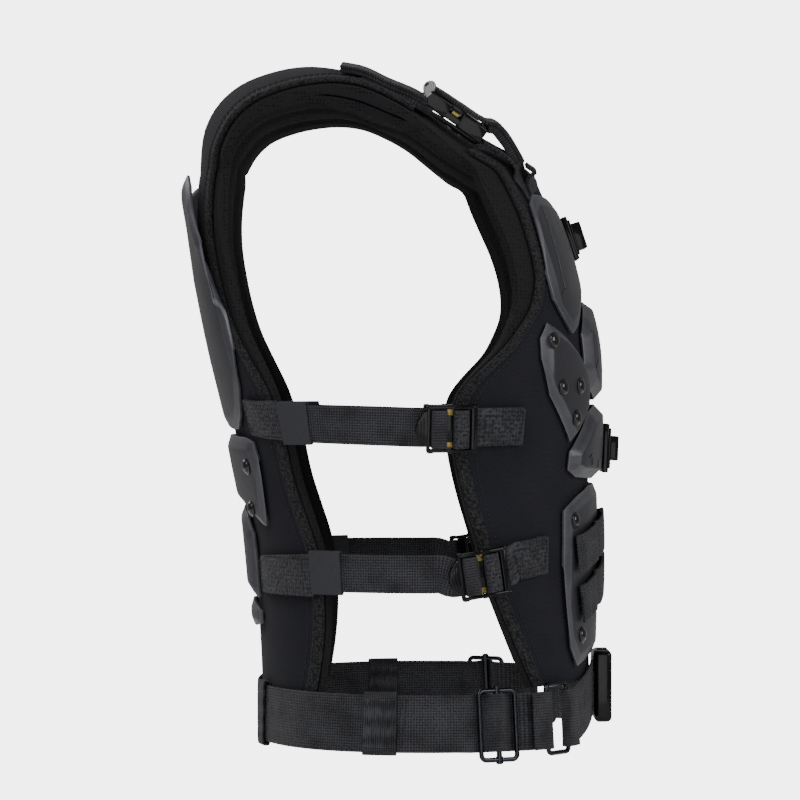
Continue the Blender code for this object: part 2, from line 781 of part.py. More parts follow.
def wire_curve(name, collection, points, radius, cyclic):
    curve = bpy.data.curves.new(name, "CURVE")
    curve.dimensions = "3D"
    curve.bevel_depth = radius
    curve.bevel_resolution = 2
    curve.use_fill_caps = True
    line = curve.splines.new("POLY")
    line.points.add(len(points) - 1)
    for spot, point in zip(line.points, points):
        spot.co = (float(point[0]), float(point[1]), float(point[2]), 1.0)
    line.use_cyclic_u = cyclic
    made = bpy.data.objects.new(name, curve)
    collection.objects.link(made)
    return made


def as_mesh(made, slot):
    """The curve's tube as a closed mesh object."""
    bpy.context.view_layer.update()
    shape = bmesh.new()
    mesh = bpy.data.meshes.new_from_object(made.evaluated_get(bpy.context.evaluated_depsgraph_get()))
    shape.from_mesh(mesh)
    bmesh.ops.remove_doubles(shape, verts=shape.verts, dist=0.00001)
    bmesh.ops.recalc_face_normals(shape, faces=shape.faces)
    shape.to_mesh(mesh)
    shape.free()
    name = made.name
    home = made.users_collection[0]
    bpy.data.objects.remove(made, do_unlink=True)
    solid = bpy.data.objects.new(name, mesh)
    home.objects.link(solid)
    mesh.materials.clear()
    if slot:
        mesh.materials.append(material(name, slot))
    mesh.shade_smooth()
    return solid


def loop_outline(front, rear, top, low, corner):
    """Rounded rectangle in girth and height."""
    centres = (
        (rear - corner, top - corner, 0), (front + corner, top - corner, 90),
        (front + corner, low + corner, 180), (rear - corner, low + corner, 270),
    )
    outline = []
    for girth, z, start in centres:
        for step in (0, 45, 90):
            angle = math.radians(start + step)
            outline.append((girth + corner * math.cos(angle), z + corner * math.sin(angle)))
    return outline


RING_MIDDLE = 0.5 * (RING_FRONT + RING_REAR)
SLIDER_MIDDLE = 0.5 * (SLIDER_FRONT + SLIDER_REAR)


def flat_loop(name, collection, front, rear, top, low, side):
    """Flat wire loop that stands off the belt."""
    middle = 0.5 * (front + rear)
    here, along, across, out = buckle_frame(middle, BELT_Z)
    points = []
    for girth, z in loop_outline(front, rear, top, low, LOOP_CORNER):
        points.append(here + along * (girth - middle) + across * (z - BELT_Z) + out * RING_LIFT)
    return wire_curve(name, collection, flipped(points, side), WIRE_RADIUS, True)


def make_belt_hardware(collection, cutters):
    for side in ("right", "left"):
        ring = flat_loop("belt_ring_" + side, collection, RING_FRONT, RING_REAR, RING_TOP, RING_LOW, side)
        as_mesh(ring, "wire_steel")
        slider = flat_loop("belt_slider_" + side, collection, SLIDER_FRONT, SLIDER_REAR, SLIDER_TOP,
                           SLIDER_LOW, side)
        slider = as_mesh(slider, "wire_steel")
        here, along, across, out = buckle_frame(SLIDER_MIDDLE, BELT_Z)
        ends = []
        for z in (SLIDER_TOP + BAR_OVERHANG, SLIDER_LOW - BAR_OVERHANG):
            ends.append(here + across * (z - BELT_Z) + out * RING_LIFT)
        bar = wire_curve("slider_bar_" + side, cutters, flipped(ends, side), BAR_RADIUS, False)
        bar = as_mesh(bar, None)
        hide_cutter(bar)
        boolean(slider, bar, "UNION")


def post_wrap(frame, post, flow):
    """Webbing that passes under a ring's post, round it and back over itself.

    post is the post's place forward of the ring's middle, and flow is 1 where the webbing
    comes from behind and -1 where it comes from the front.
    """
    reach = WIRE_RADIUS + 0.0006
    under = BELT_LIFT + WEB_THICK
    profile = [(-0.0080, under), (-0.0030, under + 0.0002)]
    for degrees in (-70, -35, 0, 35, 70, 100):
        angle = math.radians(degrees)
        profile.append((reach * math.cos(angle), RING_LIFT + reach * math.sin(angle)))
    profile.append((-0.0060, RING_LIFT + reach - 0.0014))
    profile.append((-FOLD_BACK, under + 0.0010))
    return [pass_by(frame, post + flow * forward, lift) for forward, lift in profile]


def belt_spots():
    """The belt from the centre back through the slider to the ring."""
    whole = section(BELT_Z)[2][-1]
    flat = BELT_LIFT + WEB_THICK
    over = RING_LIFT + BAR_RADIUS + WEB_THICK + 0.0006
    profile = (
        (-0.0180, flat), (-0.0105, flat + 0.0002), (-0.0075, flat + 0.0012), (-0.0032, over),
        (0.0, over + 0.0006), (0.0032, over), (0.0075, flat + 0.0012), (0.0105, flat + 0.0002),
    )
    spots = [lie(girth, BELT_Z, flat, True) for girth in np.linspace(0.0, whole - SLIDER_MIDDLE - 0.026, 13)]
    slider = buckle_frame(SLIDER_MIDDLE, BELT_Z)
    spots += [pass_by(slider, forward, lift) for forward, lift in profile]
    ring = buckle_frame(RING_MIDDLE, BELT_Z)
    spots += post_wrap(ring, RING_MIDDLE - RING_REAR, 1.0)
    return spots


def make_belt(collection):
    spots_ribbon("waist_belt", collection, belt_spots(), "right", BELT_WIDTH, mirror=True)
    low = BELT_LIFT - 0.0016
    high = BELT_LIFT + WEB_THICK + 0.0026
    ring = buckle_frame(RING_MIDDLE, BELT_Z)
    front = list(reversed(post_wrap(ring, RING_MIDDLE - RING_FRONT, -1.0)))
    start = RING_FRONT - 0.016
    for part in np.linspace(0.15, 1.0, 6):
        girth = start + (FRONT_BELT_END - start) * part
        lift = BELT_LIFT + WEB_THICK + FRONT_BELT_RISE * part ** 2
        front.append(lie(girth, BELT_Z + (FRONT_BUCKLE_Z - BELT_Z) * part, lift))
    for side in ("right", "left"):
        sleeve("belt_keeper_" + side, collection, (0.177, 0.182, 0.188, 0.193, 0.198), BELT_Z,
               BELT_WIDTH / 2 + 0.0018, low, high, True, side)
        sleeve("belt_loop_" + side, collection, (0.055, 0.064, 0.072), BELT_Z,
               BELT_WIDTH / 2 + 0.0030, low, high, True, side)
        spots_ribbon("front_belt_" + side, collection, front, side, BELT_WIDTH)


def make_belt_buckle(collection):
    """Side-release buckle at the centre front: a socket on one side and a plug on the other."""
    front = torso_spot(0.0, FRONT_BUCKLE_Z, False)[1]
    across = (np.array((1.0, 0.0, 0.0)), np.array((0.0, 0.0, 1.0)), np.array((0.0, -1.0, 0.0)))
    centre_y = front - 0.0105
    block("belt_buckle_socket", collection, (-0.0165, centre_y, FRONT_BUCKLE_Z), across,
          (0.0325, 0.0490, 0.0120), "buckle_plastic", bevel=0.0025, segments=2)
    block("belt_buckle_plug", collection, (0.01555, centre_y, FRONT_BUCKLE_Z), across,
          (0.0310, 0.0450, 0.0110), "buckle_plastic", bevel=0.0025, segments=2)


def make_chest_clips(collection, cutters):
    clips = (
        # name, z, base_height, block_height, block_depth, plate_lift
        ("chest_clip_upper", -0.097, 0.031, 0.019, 0.0080, 0.0016),
        ("chest_clip_lower", -0.240, 0.034, 0.017, 0.0070, 0.0056),
    )
    for name, z, base_height, block_height, block_depth, plate_lift in clips:
        here, out, level, rise = torso_frame(0.0, z)
        axes = (np.array((1.0, 0.0, 0.0)), rise, out)
        foot = PLATE_RIM + plate_lift + 2 * CLEAR
        base_thick = 0.0040
        base = block(name, collection, here + out * (foot + base_thick / 2), axes,
                     (0.040, base_height, base_thick), "buckle_plastic", bevel=0.0)
        top_centre = here + out * (foot + base_thick + block_depth / 2 - 0.0002)
        top = block(name + "_block", cutters, top_centre, axes, (0.030, block_height, block_depth + 0.0004),
                    None, bevel=0.0)
        hide_cutter(top)
        boolean(base, top, "UNION")


# Webbing and buckle on the right shoulder, points on the outer face of each piece
SHOULDER_FLAP = (
    # x, y, z
    (-0.121, -0.008, 0.0176),
    (-0.121, -0.022, 0.0149),
    (-0.120, -0.040, 0.0068),
    (-0.119, -0.0596, -0.0016),
)
SHOULDER_TAIL = (
    (-0.118, -0.0610, 0.0080),
    (-0.118, -0.0760, -0.0010),
    (-0.116, -0.0900, -0.0100),
    (-0.113, -0.1050, -0.0190),
    (-0.111, -0.1110, -0.0205),
    (-0.107, -0.1195, -0.0280),
    (-0.103, -0.1262, -0.0380),
    (-0.101, -0.1300, -0.0445),
)
SHOULDER_STRAP = ((-0.1120, -0.1016, -0.0320),)
SHOULDER_STRAP_LAID = (
    # girth, z, lift
    (0.1060, -0.0500, 0.0038),
    (0.1030, -0.0560, 0.0025),
    (0.1000, -0.0620, 0.0023),
    (0.0970, -0.0680, 0.0021),
)
SHOULDER_KEEPER = (
    (-0.099, -0.1325, -0.0476),
    (-0.098, -0.1388, -0.0530),
)
SHOULDER_KEEPER_LAID = (
    (0.0960, -0.0600, 0.0062),
    (0.0955, -0.0645, 0.0046),
    (0.0950, -0.0680, 0.0041),
)
SHOULDER_BUCKLE_START = (-0.119, -0.0620, -0.0040)
SHOULDER_BUCKLE_END = (-0.113, -0.1010, -0.0315)
SHOULDER_BUCKLE_WIDTH = 0.0300
SHOULDER_BUCKLE_THICK = 0.0106
SHOULDER_BUCKLE_RISE = 0.0021
FLAP_THICK = 0.0050
FLAP_WIDTH = 0.0400
KEEPER_WIDTH = 0.020


def line_ribbon(name, collection, points, width, lean, side, thickness=WEB_THICK):
    """Webbing along a free line, leaning outwards like the shoulder."""
    centres = np.array(points)
    tangents = np.gradient(centres, axis=0)
    tangents /= np.linalg.norm(tangents, axis=1)[:, None]
    across = np.array((math.cos(lean), 0.0, math.sin(lean)))
    outs = np.cross(tangents, across)
    outs /= np.linalg.norm(outs, axis=1)[:, None]
    if np.sum(outs[:, 2]) < 0:
        outs = -outs
    acrosses = np.cross(outs, tangents)
    acrosses /= np.linalg.norm(acrosses, axis=1)[:, None]
    ribbon(name, collection, flipped(centres, side), flipped(outs, side), flipped(acrosses, side), width,
           thickness=thickness)


def laid_ribbon(name, collection, free, laid, width, lean, side):
    """Webbing that starts along a free line and ends laid on the front of the torso."""
    tilted = np.array((math.cos(lean), 0.0, math.sin(lean)))
    centres = [np.array(point) for point in free]
    acrosses = [tilted] * len(free)
    for girth, z, lift in laid:
        here, out, level, _ = torso_frame(girth, z)
        centres.append(here + out * lift)
        acrosses.append(-level)
    acrosses[len(free)] = tilted + acrosses[len(free) + 1]
    centres = np.array(centres)
    acrosses = np.array(acrosses)
    acrosses /= np.linalg.norm(acrosses, axis=1)[:, None]
    outs = np.cross(np.gradient(centres, axis=0), acrosses)
    outs /= np.linalg.norm(outs, axis=1)[:, None]
    if np.sum(outs[:, 1]) > 0:
        outs = -outs
    ribbon(name, collection, flipped(centres, side), flipped(outs, side), flipped(acrosses, side), width)


def make_shoulder_hardware(collection, cutters):
    lean = math.radians(9)
    for side in ("right", "left"):
        line_ribbon("shoulder_flap_" + side, collection, SHOULDER_FLAP, FLAP_WIDTH, lean, side, FLAP_THICK)
        line_ribbon("shoulder_tail_" + side, collection, SHOULDER_TAIL, STRAP_WIDTH, lean, side)
        laid_ribbon("shoulder_strap_" + side, collection, SHOULDER_STRAP, SHOULDER_STRAP_LAID, STRAP_WIDTH,
                    lean, side)
        laid_ribbon("shoulder_keeper_" + side, collection, SHOULDER_KEEPER, SHOULDER_KEEPER_LAID,
                    KEEPER_WIDTH, lean, side)
        start = np.array(SHOULDER_BUCKLE_START)
        end = np.array(SHOULDER_BUCKLE_END)
        along = (end - start) / np.linalg.norm(end - start)
        across = np.array((math.cos(lean), 0.0, math.sin(lean)))
        across -= along * np.dot(across, along)
        across /= np.linalg.norm(across)
        out = np.cross(along, across)
        if out[2] < 0:
            out = -out
        length = float(np.linalg.norm(end - start))
        middle = 0.5 * (start + end) + out * SHOULDER_BUCKLE_RISE
        centre, axes = flip_axes(middle, (along, across, out), side)
        buckle = block("shoulder_buckle_" + side, collection, centre, axes,
                       (length, SHOULDER_BUCKLE_WIDTH, SHOULDER_BUCKLE_THICK), "buckle_plastic", bevel=0.0)
        window = block("shoulder_buckle_window_" + side, cutters, centre, axes, (0.009, 0.0200, 0.03), None,
                       bevel=0.0)
        hide_cutter(window)
        boolean(buckle, window, "DIFFERENCE")


def build():
    clear_scene()
    vest = new_collection("tactical_vest")
    cutters = new_collection("cutters")
    make_pad(vest)
    make_panels(vest)
    make_bindings(vest)
    make_plates(vest)
    make_load_bands(vest)
    make_side_straps(vest, cutters)
    make_belt(vest)
    make_belt_hardware(vest, cutters)
    make_belt_buckle(vest)
    make_chest_clips(vest, cutters)
    make_shoulder_hardware(vest, cutters)


build()
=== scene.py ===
"""Tactical vest: padded cloth, moulded plates, webbing, buckles and belt, as a Blender add-on."""

import bpy
import bmesh
import math
import numpy as np
from mathutils import Matrix, Vector


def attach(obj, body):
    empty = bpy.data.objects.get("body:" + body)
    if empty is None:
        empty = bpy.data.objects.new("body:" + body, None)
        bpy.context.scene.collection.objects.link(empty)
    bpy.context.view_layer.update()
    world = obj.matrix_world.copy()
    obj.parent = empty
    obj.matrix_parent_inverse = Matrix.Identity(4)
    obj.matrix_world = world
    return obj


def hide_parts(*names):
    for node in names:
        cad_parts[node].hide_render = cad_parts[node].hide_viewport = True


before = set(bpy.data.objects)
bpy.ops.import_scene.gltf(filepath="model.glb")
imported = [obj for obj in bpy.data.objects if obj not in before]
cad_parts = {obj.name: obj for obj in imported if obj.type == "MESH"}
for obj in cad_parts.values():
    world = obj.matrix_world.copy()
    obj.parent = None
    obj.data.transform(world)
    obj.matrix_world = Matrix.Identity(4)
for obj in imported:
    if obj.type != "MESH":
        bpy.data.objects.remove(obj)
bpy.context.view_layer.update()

bl_info = {
    "name": "Tactical vest",
    "version": (1, 0, 0),
    "blender": (4, 5, 0),
    "location": "3D View > Sidebar > Vest",
    "description": "Builds the padded vest with its plates, straps, buckles and belt",
    "category": "Add Mesh",
}

# Layers of the vest, as thicknesses and as heights above the outer face of the panels, in metres
PANEL_THICK = 0.0030
PAD_TOP = -PANEL_THICK - 0.0004
PAD_THICK = 0.0064
PLATE_WALL = 0.0022
PLATE_RIM = PLATE_WALL + 0.0012
PLATE_SEAT = PLATE_WALL + 0.0004
WEB_TOP = 0.0042
WEB_SEWN = 0.0022
# Widths of the binding and of a plate's bevel, and the length over which a sewn strap rises
BINDING_WIDTH = 0.0090
PLATE_BEVEL = 0.007
SEWN_LENGTH = 0.020
# How far webbing curls down at its edges, and how far the cloth bows up over the shoulder
WEB_DIP = 0.00025
SHOULDER_BOW = 0.002
# Shoulder rows where the front panel ends and the back panel starts
FRONT_PANEL_END = 1
BACK_PANEL_START = 2

# How far the panel's cloth reaches under the binding, and how far it dips there
PANEL_TUCK = 0.0016
PANEL_DIP = 0.0005
# Length and half width of a panel's pattern, in metres of cloth
PANEL_LENGTH = 0.55
PANEL_WIDTH = 0.19
# The pad's rolled edge, and the groove sewn inside it
PAD_ROLL = 0.012
GROOVE_INSET = 0.016
GROOVE_WIDTH = 0.0035
GROOVE_DEPTH = 0.0008

# Angles in degrees past which a finished mesh keeps an edge sharp, and past which an edge is bevelled
HARD_EDGE = 40
CLOTH_EDGE = 50
WEB_EDGE = 55
SOFT_EDGE = 60
WALL_BEVEL = 50

# Horizontal sections of the torso: height, half width, y of the side, front and back, roundness
TORSO = (
    # z, half_width, side_y, front_y, back_y, front_power, back_power
    (-0.460, 0.160, -0.062, -0.177, 0.049, 2.3, 2.3),
    (-0.400, 0.152, -0.063, -0.177, 0.049, 2.3, 2.3),
    (-0.360, 0.148, -0.063, -0.178, 0.051, 2.3, 2.3),
    (-0.310, 0.150, -0.060, -0.179, 0.054, 2.3, 2.3),
    (-0.260, 0.158, -0.054, -0.178, 0.061, 2.3, 2.4),
    (-0.210, 0.167, -0.050, -0.179, 0.072, 2.4, 2.6),
    (-0.165, 0.169, -0.047, -0.176, 0.082, 2.5, 2.8),
    (-0.120, 0.166, -0.042, -0.165, 0.090, 2.6, 3.0),
    (-0.080, 0.160, -0.036, -0.152, 0.093, 2.6, 3.2),
    (-0.040, 0.150, -0.032, -0.134, 0.089, 2.6, 3.2),
    (-0.020, 0.140, -0.028, -0.124, 0.082, 2.6, 3.2),
)

# The cloth from the front hem up to the shoulder, girths from the centre line
FRONT_ROWS = (
    # z, neck_girth, arm_girth, arm_setback
    (-0.398, 0.000, 0.134, 0.000),
    (-0.365, 0.000, 0.151, 0.000),
    (-0.334, 0.000, 0.166, 0.000),
    (-0.304, 0.000, 0.178, 0.000),
    (-0.272, 0.000, 0.191, 0.000),
    (-0.240, 0.000, 0.203, 0.000),
    (-0.222, 0.000, 0.208, 0.000),
    (-0.206, 0.000, 0.207, 0.000),
    (-0.194, 0.000, 0.199, 0.000),
    (-0.184, 0.000, 0.189, 0.001),
    (-0.174, 0.000, 0.178, 0.002),
    (-0.160, 0.000, 0.167, 0.006),
    (-0.145, 0.000, 0.156, 0.011),
    (-0.125, 0.000, 0.149, 0.018),
    (-0.098, 0.000, 0.147, 0.021),
    (-0.082, 0.000, 0.148, 0.024),
    (-0.068, 0.000, 0.148, 0.023),
    (-0.060, 0.035, 0.147, 0.021),
    (-0.052, 0.058, 0.146, 0.017),
)

# The strap over the right shoulder, from front to back
SHOULDER_ROWS = (
    # neck_x, neck_y, neck_z, arm_x, arm_y, arm_z, arm_setback
    (-0.072, -0.118, -0.0410, -0.1410, -0.0885, -0.0415, 0.009),
    (-0.082, -0.090, -0.0260, -0.1435, -0.0725, -0.0280, 0.004),
    (-0.087, -0.062, -0.0060, -0.1460, -0.0565, -0.0150, 0.003),
    (-0.090, -0.040, 0.0036, -0.1480, -0.0400, -0.0055, 0.003),
    (-0.092, -0.019, 0.0124, -0.1490, -0.0225, 0.0015, 0.003),
    (-0.093, 0.002, 0.0170, -0.1490, -0.0030, 0.0039, 0.003),
    (-0.0925, 0.022, 0.0174, -0.1480, 0.0185, 0.0017, 0.003),
    (-0.091, 0.041, 0.0136, -0.1450, 0.0355, -0.0028, 0.003),
    (-0.088, 0.061, 0.0056, -0.1400, 0.0530, -0.0110, 0.004),
    (-0.084, 0.0755, -0.0065, -0.1330, 0.0656, -0.0236, 0.005),
    (-0.076, 0.0855, -0.0235, -0.1250, 0.0737, -0.0397, 0.006),
)

BACK_ROWS = (
    # z, neck_girth, arm_girth, arm_setback
    (-0.050, 0.050, 0.117, 0.008),
    (-0.058, 0.000, 0.117, 0.009),
    (-0.074, 0.000, 0.117, 0.009),
    (-0.096, 0.000, 0.117, 0.009),
    (-0.118, 0.000, 0.118, 0.008),
    (-0.138, 0.000, 0.120, 0.007),
    (-0.159, 0.000, 0.124, 0.005),
    (-0.180, 0.000, 0.133, 0.003),
    (-0.200, 0.000, 0.140, 0.000),
    (-0.217, 0.000, 0.141, 0.000),
    (-0.234, 0.000, 0.140, 0.000),
    (-0.263, 0.000, 0.135, 0.000),
    (-0.287, 0.000, 0.137, 0.000),
    (-0.307, 0.000, 0.140, 0.000),
    (-0.336, 0.000, 0.141, 0.000),
    (-0.360, 0.000, 0.140, 0.000),
    (-0.384, 0.000, 0.137, 0.000),
    (-0.408, 0.000, 0.132, 0.000),
)

# Armour plates: where they lie, how they stand off, and their sections
PLATES = {
    # name: (from_back, rim, lift, flare, crown, ((girth, top_z, low_z), ...))
    "chest_plate": (False, PLATE_RIM, 0.0016, 0.0, 0.0010, (
        (0.000, -0.076, -0.134), (0.040, -0.074, -0.136), (0.070, -0.071, -0.146),
        (0.088, -0.070, -0.157), (0.103, -0.070, -0.163), (0.111, -0.076, -0.156),
        (0.118, -0.100, -0.148), (0.123, -0.122, -0.141))),
    "sternum_plate": (False, PLATE_SEAT, 0.0060, 0.0, 0.0012, (
        (0.000, -0.138, -0.207), (0.034, -0.140, -0.207), (0.062, -0.150, -0.200),
        (0.080, -0.162, -0.186))),
    "rib_plate": (False, PLATE_SEAT, 0.0044, 0.0, 0.0010, (
        (0.078, -0.194, -0.210), (0.094, -0.177, -0.227), (0.104, -0.170, -0.235), (0.120, -0.162, -0.220),
        (0.136, -0.156, -0.204), (0.145, -0.166, -0.180))),
    "lower_chest_plate": (False, PLATE_SEAT, 0.0064, 0.0, 0.0008, (
        (0.000, -0.210, -0.261), (0.040, -0.210, -0.261), (0.070, -0.215, -0.260), (0.090, -0.231, -0.259),
        (0.103, -0.241, -0.254))),
    "abdomen_plate": (False, PLATE_RIM, 0.0026, 0.0, 0.0, (
        (0.000, -0.265, -0.380), (0.034, -0.265, -0.380), (0.058, -0.265, -0.382), (0.084, -0.271, -0.387),
        (0.095, -0.275, -0.374), (0.102, -0.278, -0.345), (0.107, -0.281, -0.318))),
    "upper_back_plate": (True, PLATE_RIM, 0.0016, 0.0065, 0.0010, (
        (0.000, -0.066, -0.222), (0.040, -0.061, -0.224), (0.070, -0.055, -0.226), (0.086, -0.062, -0.226),
        (0.100, -0.084, -0.216), (0.112, -0.100, -0.196), (0.119, -0.134, -0.172))),
    "mid_back_plate": (True, PLATE_RIM, 0.0036, 0.0, 0.0008, (
        (0.000, -0.230, -0.274), (0.060, -0.230, -0.280), (0.086, -0.231, -0.290), (0.093, -0.231, -0.292),
        (0.100, -0.232, -0.270), (0.107, -0.234, -0.246))),
    "lower_back_plate": (True, PLATE_RIM, 0.0036, 0.0, 0.0006, (
        (0.000, -0.279, -0.338), (0.040, -0.284, -0.340), (0.057, -0.297, -0.342))),
    "tail_plate": (True, PLATE_RIM, 0.0016, 0.0, 0.0004, (
        (0.000, -0.344, -0.362), (0.040, -0.346, -0.362), (0.060, -0.350, -0.360))),
}

# Rivets of the plates on the right side; each has a twin on the left
RIVETS = (
    # plate, girth, z
    ("rib_plate", 0.1370, -0.1680), ("rib_plate", 0.1275, -0.1985), ("rib_plate", 0.1050, -0.1975),
    ("rib_plate", 0.1080, -0.2185),
    ("abdomen_plate", 0.0960, -0.2880), ("abdomen_plate", 0.0820, -0.3660),
    ("mid_back_plate", 0.0930, -0.2500), ("mid_back_plate", 0.0820, -0.2790),
)
# Width of a rivet's washer against its cap
WASHER_SHARE = 1.16

# Load bands across the abdomen plate
LOAD_BANDS = (
    # name, half_girth, centre_z, side_z
    ("load_band_upper", 0.097, -0.295, -0.311),
    ("load_band_lower", 0.089, -0.325, -0.345),
)
# Spots along half a band, and how far it bulges between its tacks
BAND_STEPS = 40
BAND_BULGE = 0.0024


def linear(hex_colour):
    """Scene-linear colour of an sRGB hex value."""
    channels = []
    for place in (1, 3, 5):
        value = int(hex_colour[place:place + 2], 16) / 255
        channels.append(value / 12.92 if value <= 0.04045 else ((value + 0.055) / 1.055) ** 2.4)
    return tuple(channels)


def size_setting(label, text, value):
    return bpy.props.FloatProperty(name=label, description=text, default=value, unit="LENGTH", precision=4)


def colour_setting(label, text, hex_colour):
    return bpy.props.FloatVectorProperty(name=label, description=text, default=linear(hex_colour), size=3,
                                         subtype="COLOR", min=0.0, max=1.0)


class VestSizes(bpy.types.PropertyGroup):
    """Sizes of the webbing, the stitching and the rivets."""
    strap_width: size_setting("Strap width", "Width of the side and shoulder webbing", 0.0254)
    belt_width: size_setting("Belt width", "Width of the waist belt", 0.0381)
    web_thick: size_setting("Webbing thickness", "Thickness of one layer of webbing", 0.0016)
    rivet_width: size_setting("Rivet width", "Diameter of a rivet's domed cap", 0.0098)
    rivet_height: size_setting("Rivet height", "Height of a rivet's domed cap", 0.0026)
    stitch_length: size_setting("Stitch length", "Length of one stitch of the seams", 0.0030)
    pad_swell: size_setting("Pad swell", "How far the padding stands out between its seams", 0.0016)


class VestColours(bpy.types.PropertyGroup):
    """Colours of the vest's materials."""
    panel: colour_setting("Panel cloth", "Brushed cloth of the front and back panels", "#17171c")
    pad: colour_setting("Pad knit", "Spacer knit of the inner pad", "#121213")
    binding: colour_setting("Binding tape", "Ribbed tape round the arm openings", "#1d1d1f")
    plate: colour_setting("Plates", "Moulded armour plates", "#1b1b20")
    # Plate edge colour: wear together with a painted highlight on the rims and bevels
    plate_edge_wear_and_highlight: colour_setting("Plate edges", "Rubbed rims and bevels of the plates", "#55555b")
    webbing: colour_setting("Webbing", "Woven straps and belt", "#1f1f23")
    buckle: colour_setting("Buckles", "Moulded buckles and clips", "#08080a")
    steel: colour_setting("Wire", "Black plated wire of the rings and sliders", "#2a2b2f")
    brass: colour_setting("Latches", "Brass latch plates", "#6b6038")
    thread: colour_setting("Thread", "Bonded thread of the seams", "#1c1c20")


def sizes():
    return bpy.context.scene.vest_sizes


def colours():
    return bpy.context.scene.vest_colours


TORSO_HEIGHTS = np.array([row[0] for row in TORSO])
TORSO_VALUES = np.array([row[1:] for row in TORSO])
TORSO_SLOPES = np.gradient(TORSO_VALUES, TORSO_HEIGHTS, axis=0)


def blended(values, slopes, k, t, step):
    """Part t of the way from value k to the next, on a curve with the slopes of both."""
    start = 2 * t**3 - 3 * t**2 + 1
    leave = (t**3 - 2 * t**2 + t) * step
    arrive = (t**3 - t**2) * step
    return start * values[k] + leave * slopes[k] + (1 - start) * values[k + 1] + arrive * slopes[k + 1]


def torso_values(z):
    """The torso table's values at height z, with slopes that keep the sections fair."""
    k = int(min(max(np.searchsorted(TORSO_HEIGHTS, z) - 1, 0), len(TORSO) - 2))
    step = TORSO_HEIGHTS[k + 1] - TORSO_HEIGHTS[k]
    t = min(max((z - TORSO_HEIGHTS[k]) / step, 0.0), 1.0)
    return blended(TORSO_VALUES, TORSO_SLOPES, k, t, step)


# Every quarter of a degree round half a section
ANGLES = np.linspace(0.0, math.pi, 721)
SECTION_CACHE = {}
# Distance over which a tangent is taken, and a girth that counts as the centre line
TANGENT_STEP = 0.0015
ON_CENTRE = 1e-6
# A point inside the torso, from which outwards is told
TORSO_CENTRE = np.array((0.0, -0.05, -0.15))


def section(z):
    """Half of the torso's outline at height z, from the front centre to the back centre."""
    key = round(z, 6)
    if key not in SECTION_CACHE:
        half, side, front, back, front_power, back_power = torso_values(z)
        cosine = np.cos(ANGLES)
        sine = np.abs(np.sin(ANGLES))
        power = np.where(cosine >= 0, front_power, back_power)
        x = -half * sine ** (2 / power)
        y = side + np.where(cosine >= 0, front - side, back - side) * np.abs(cosine) ** (2 / power)
        steps = np.hypot(np.diff(x), np.diff(y))
        SECTION_CACHE[key] = (x, y, np.concatenate(([0.0], np.cumsum(steps))))
    return SECTION_CACHE[key]


def unit(vector):
    return vector / np.linalg.norm(vector)


def torso_spot(girth, z, from_back):
    """Point of the torso at a girth from the front centre, or from the back centre."""
    x, y, length = section(z)
    along = length[-1] - girth if from_back else girth
    return np.array((np.interp(along, length, x), np.interp(along, length, y), z))


def torso_frame(girth, z, from_back=False):
    """Point, outward normal, level tangent away from the centre line, and the slope upwards."""
    here = torso_spot(girth, z, from_back)
    low = max(girth - TANGENT_STEP, 0.0)
    level = torso_spot(girth + TANGENT_STEP, z, from_back) - torso_spot(low, z, from_back)
    if low == 0.0:
        level[1] = 0.0
    level = unit(level)
    rise = torso_spot(girth, z + TANGENT_STEP, from_back) - torso_spot(girth, z - TANGENT_STEP, from_back)
    rise = unit(rise - level * np.dot(rise, level))
    out = np.cross(level, rise)
    if np.dot(out[:2], here[:2] - TORSO_CENTRE[:2]) < 0:
        out = -out
    if girth < ON_CENTRE:
        out[0] = 0.0
        out = unit(out)
    return here, out, level, rise


def on_torso(girth, z, lift, from_back=False):
    here, out, _, _ = torso_frame(girth, z, from_back)
    return here + out * lift, out


# Points across a row of cloth, and fine rows between two rows of the tables
FINE = 41
FINE_STEPS = 6


def shoulder_curve(row):
    """One row over the shoulder, bowed upwards between the neck and the arm."""
    neck = np.array(row[0:3])
    arm = np.array(row[3:6])
    points = []
    for t in np.linspace(0.0, 1.0, FINE):
        point = neck + (arm - neck) * t
        point[2] += SHOULDER_BOW * math.sin(math.pi * t)
        points.append(point)
    return np.array(points)


def fair(values, steps):
    """Values between the rows of a table, on one smooth curve through them all."""
    flat = values.reshape(len(values), -1)
    spans = np.linalg.norm(np.diff(flat, axis=0), axis=1) / math.sqrt(flat.shape[1] / 3) + 1e-6
    length = np.concatenate(([0.0], np.cumsum(spans)))
    slopes = np.gradient(flat, length, axis=0)
    made = []
    for k in range(len(values) - 1):
        for t in np.arange(steps) / steps:
            made.append(blended(flat, slopes, k, t, spans[k]))
    made.append(flat[-1])
    return np.array(made).reshape((-1,) + values.shape[1:])


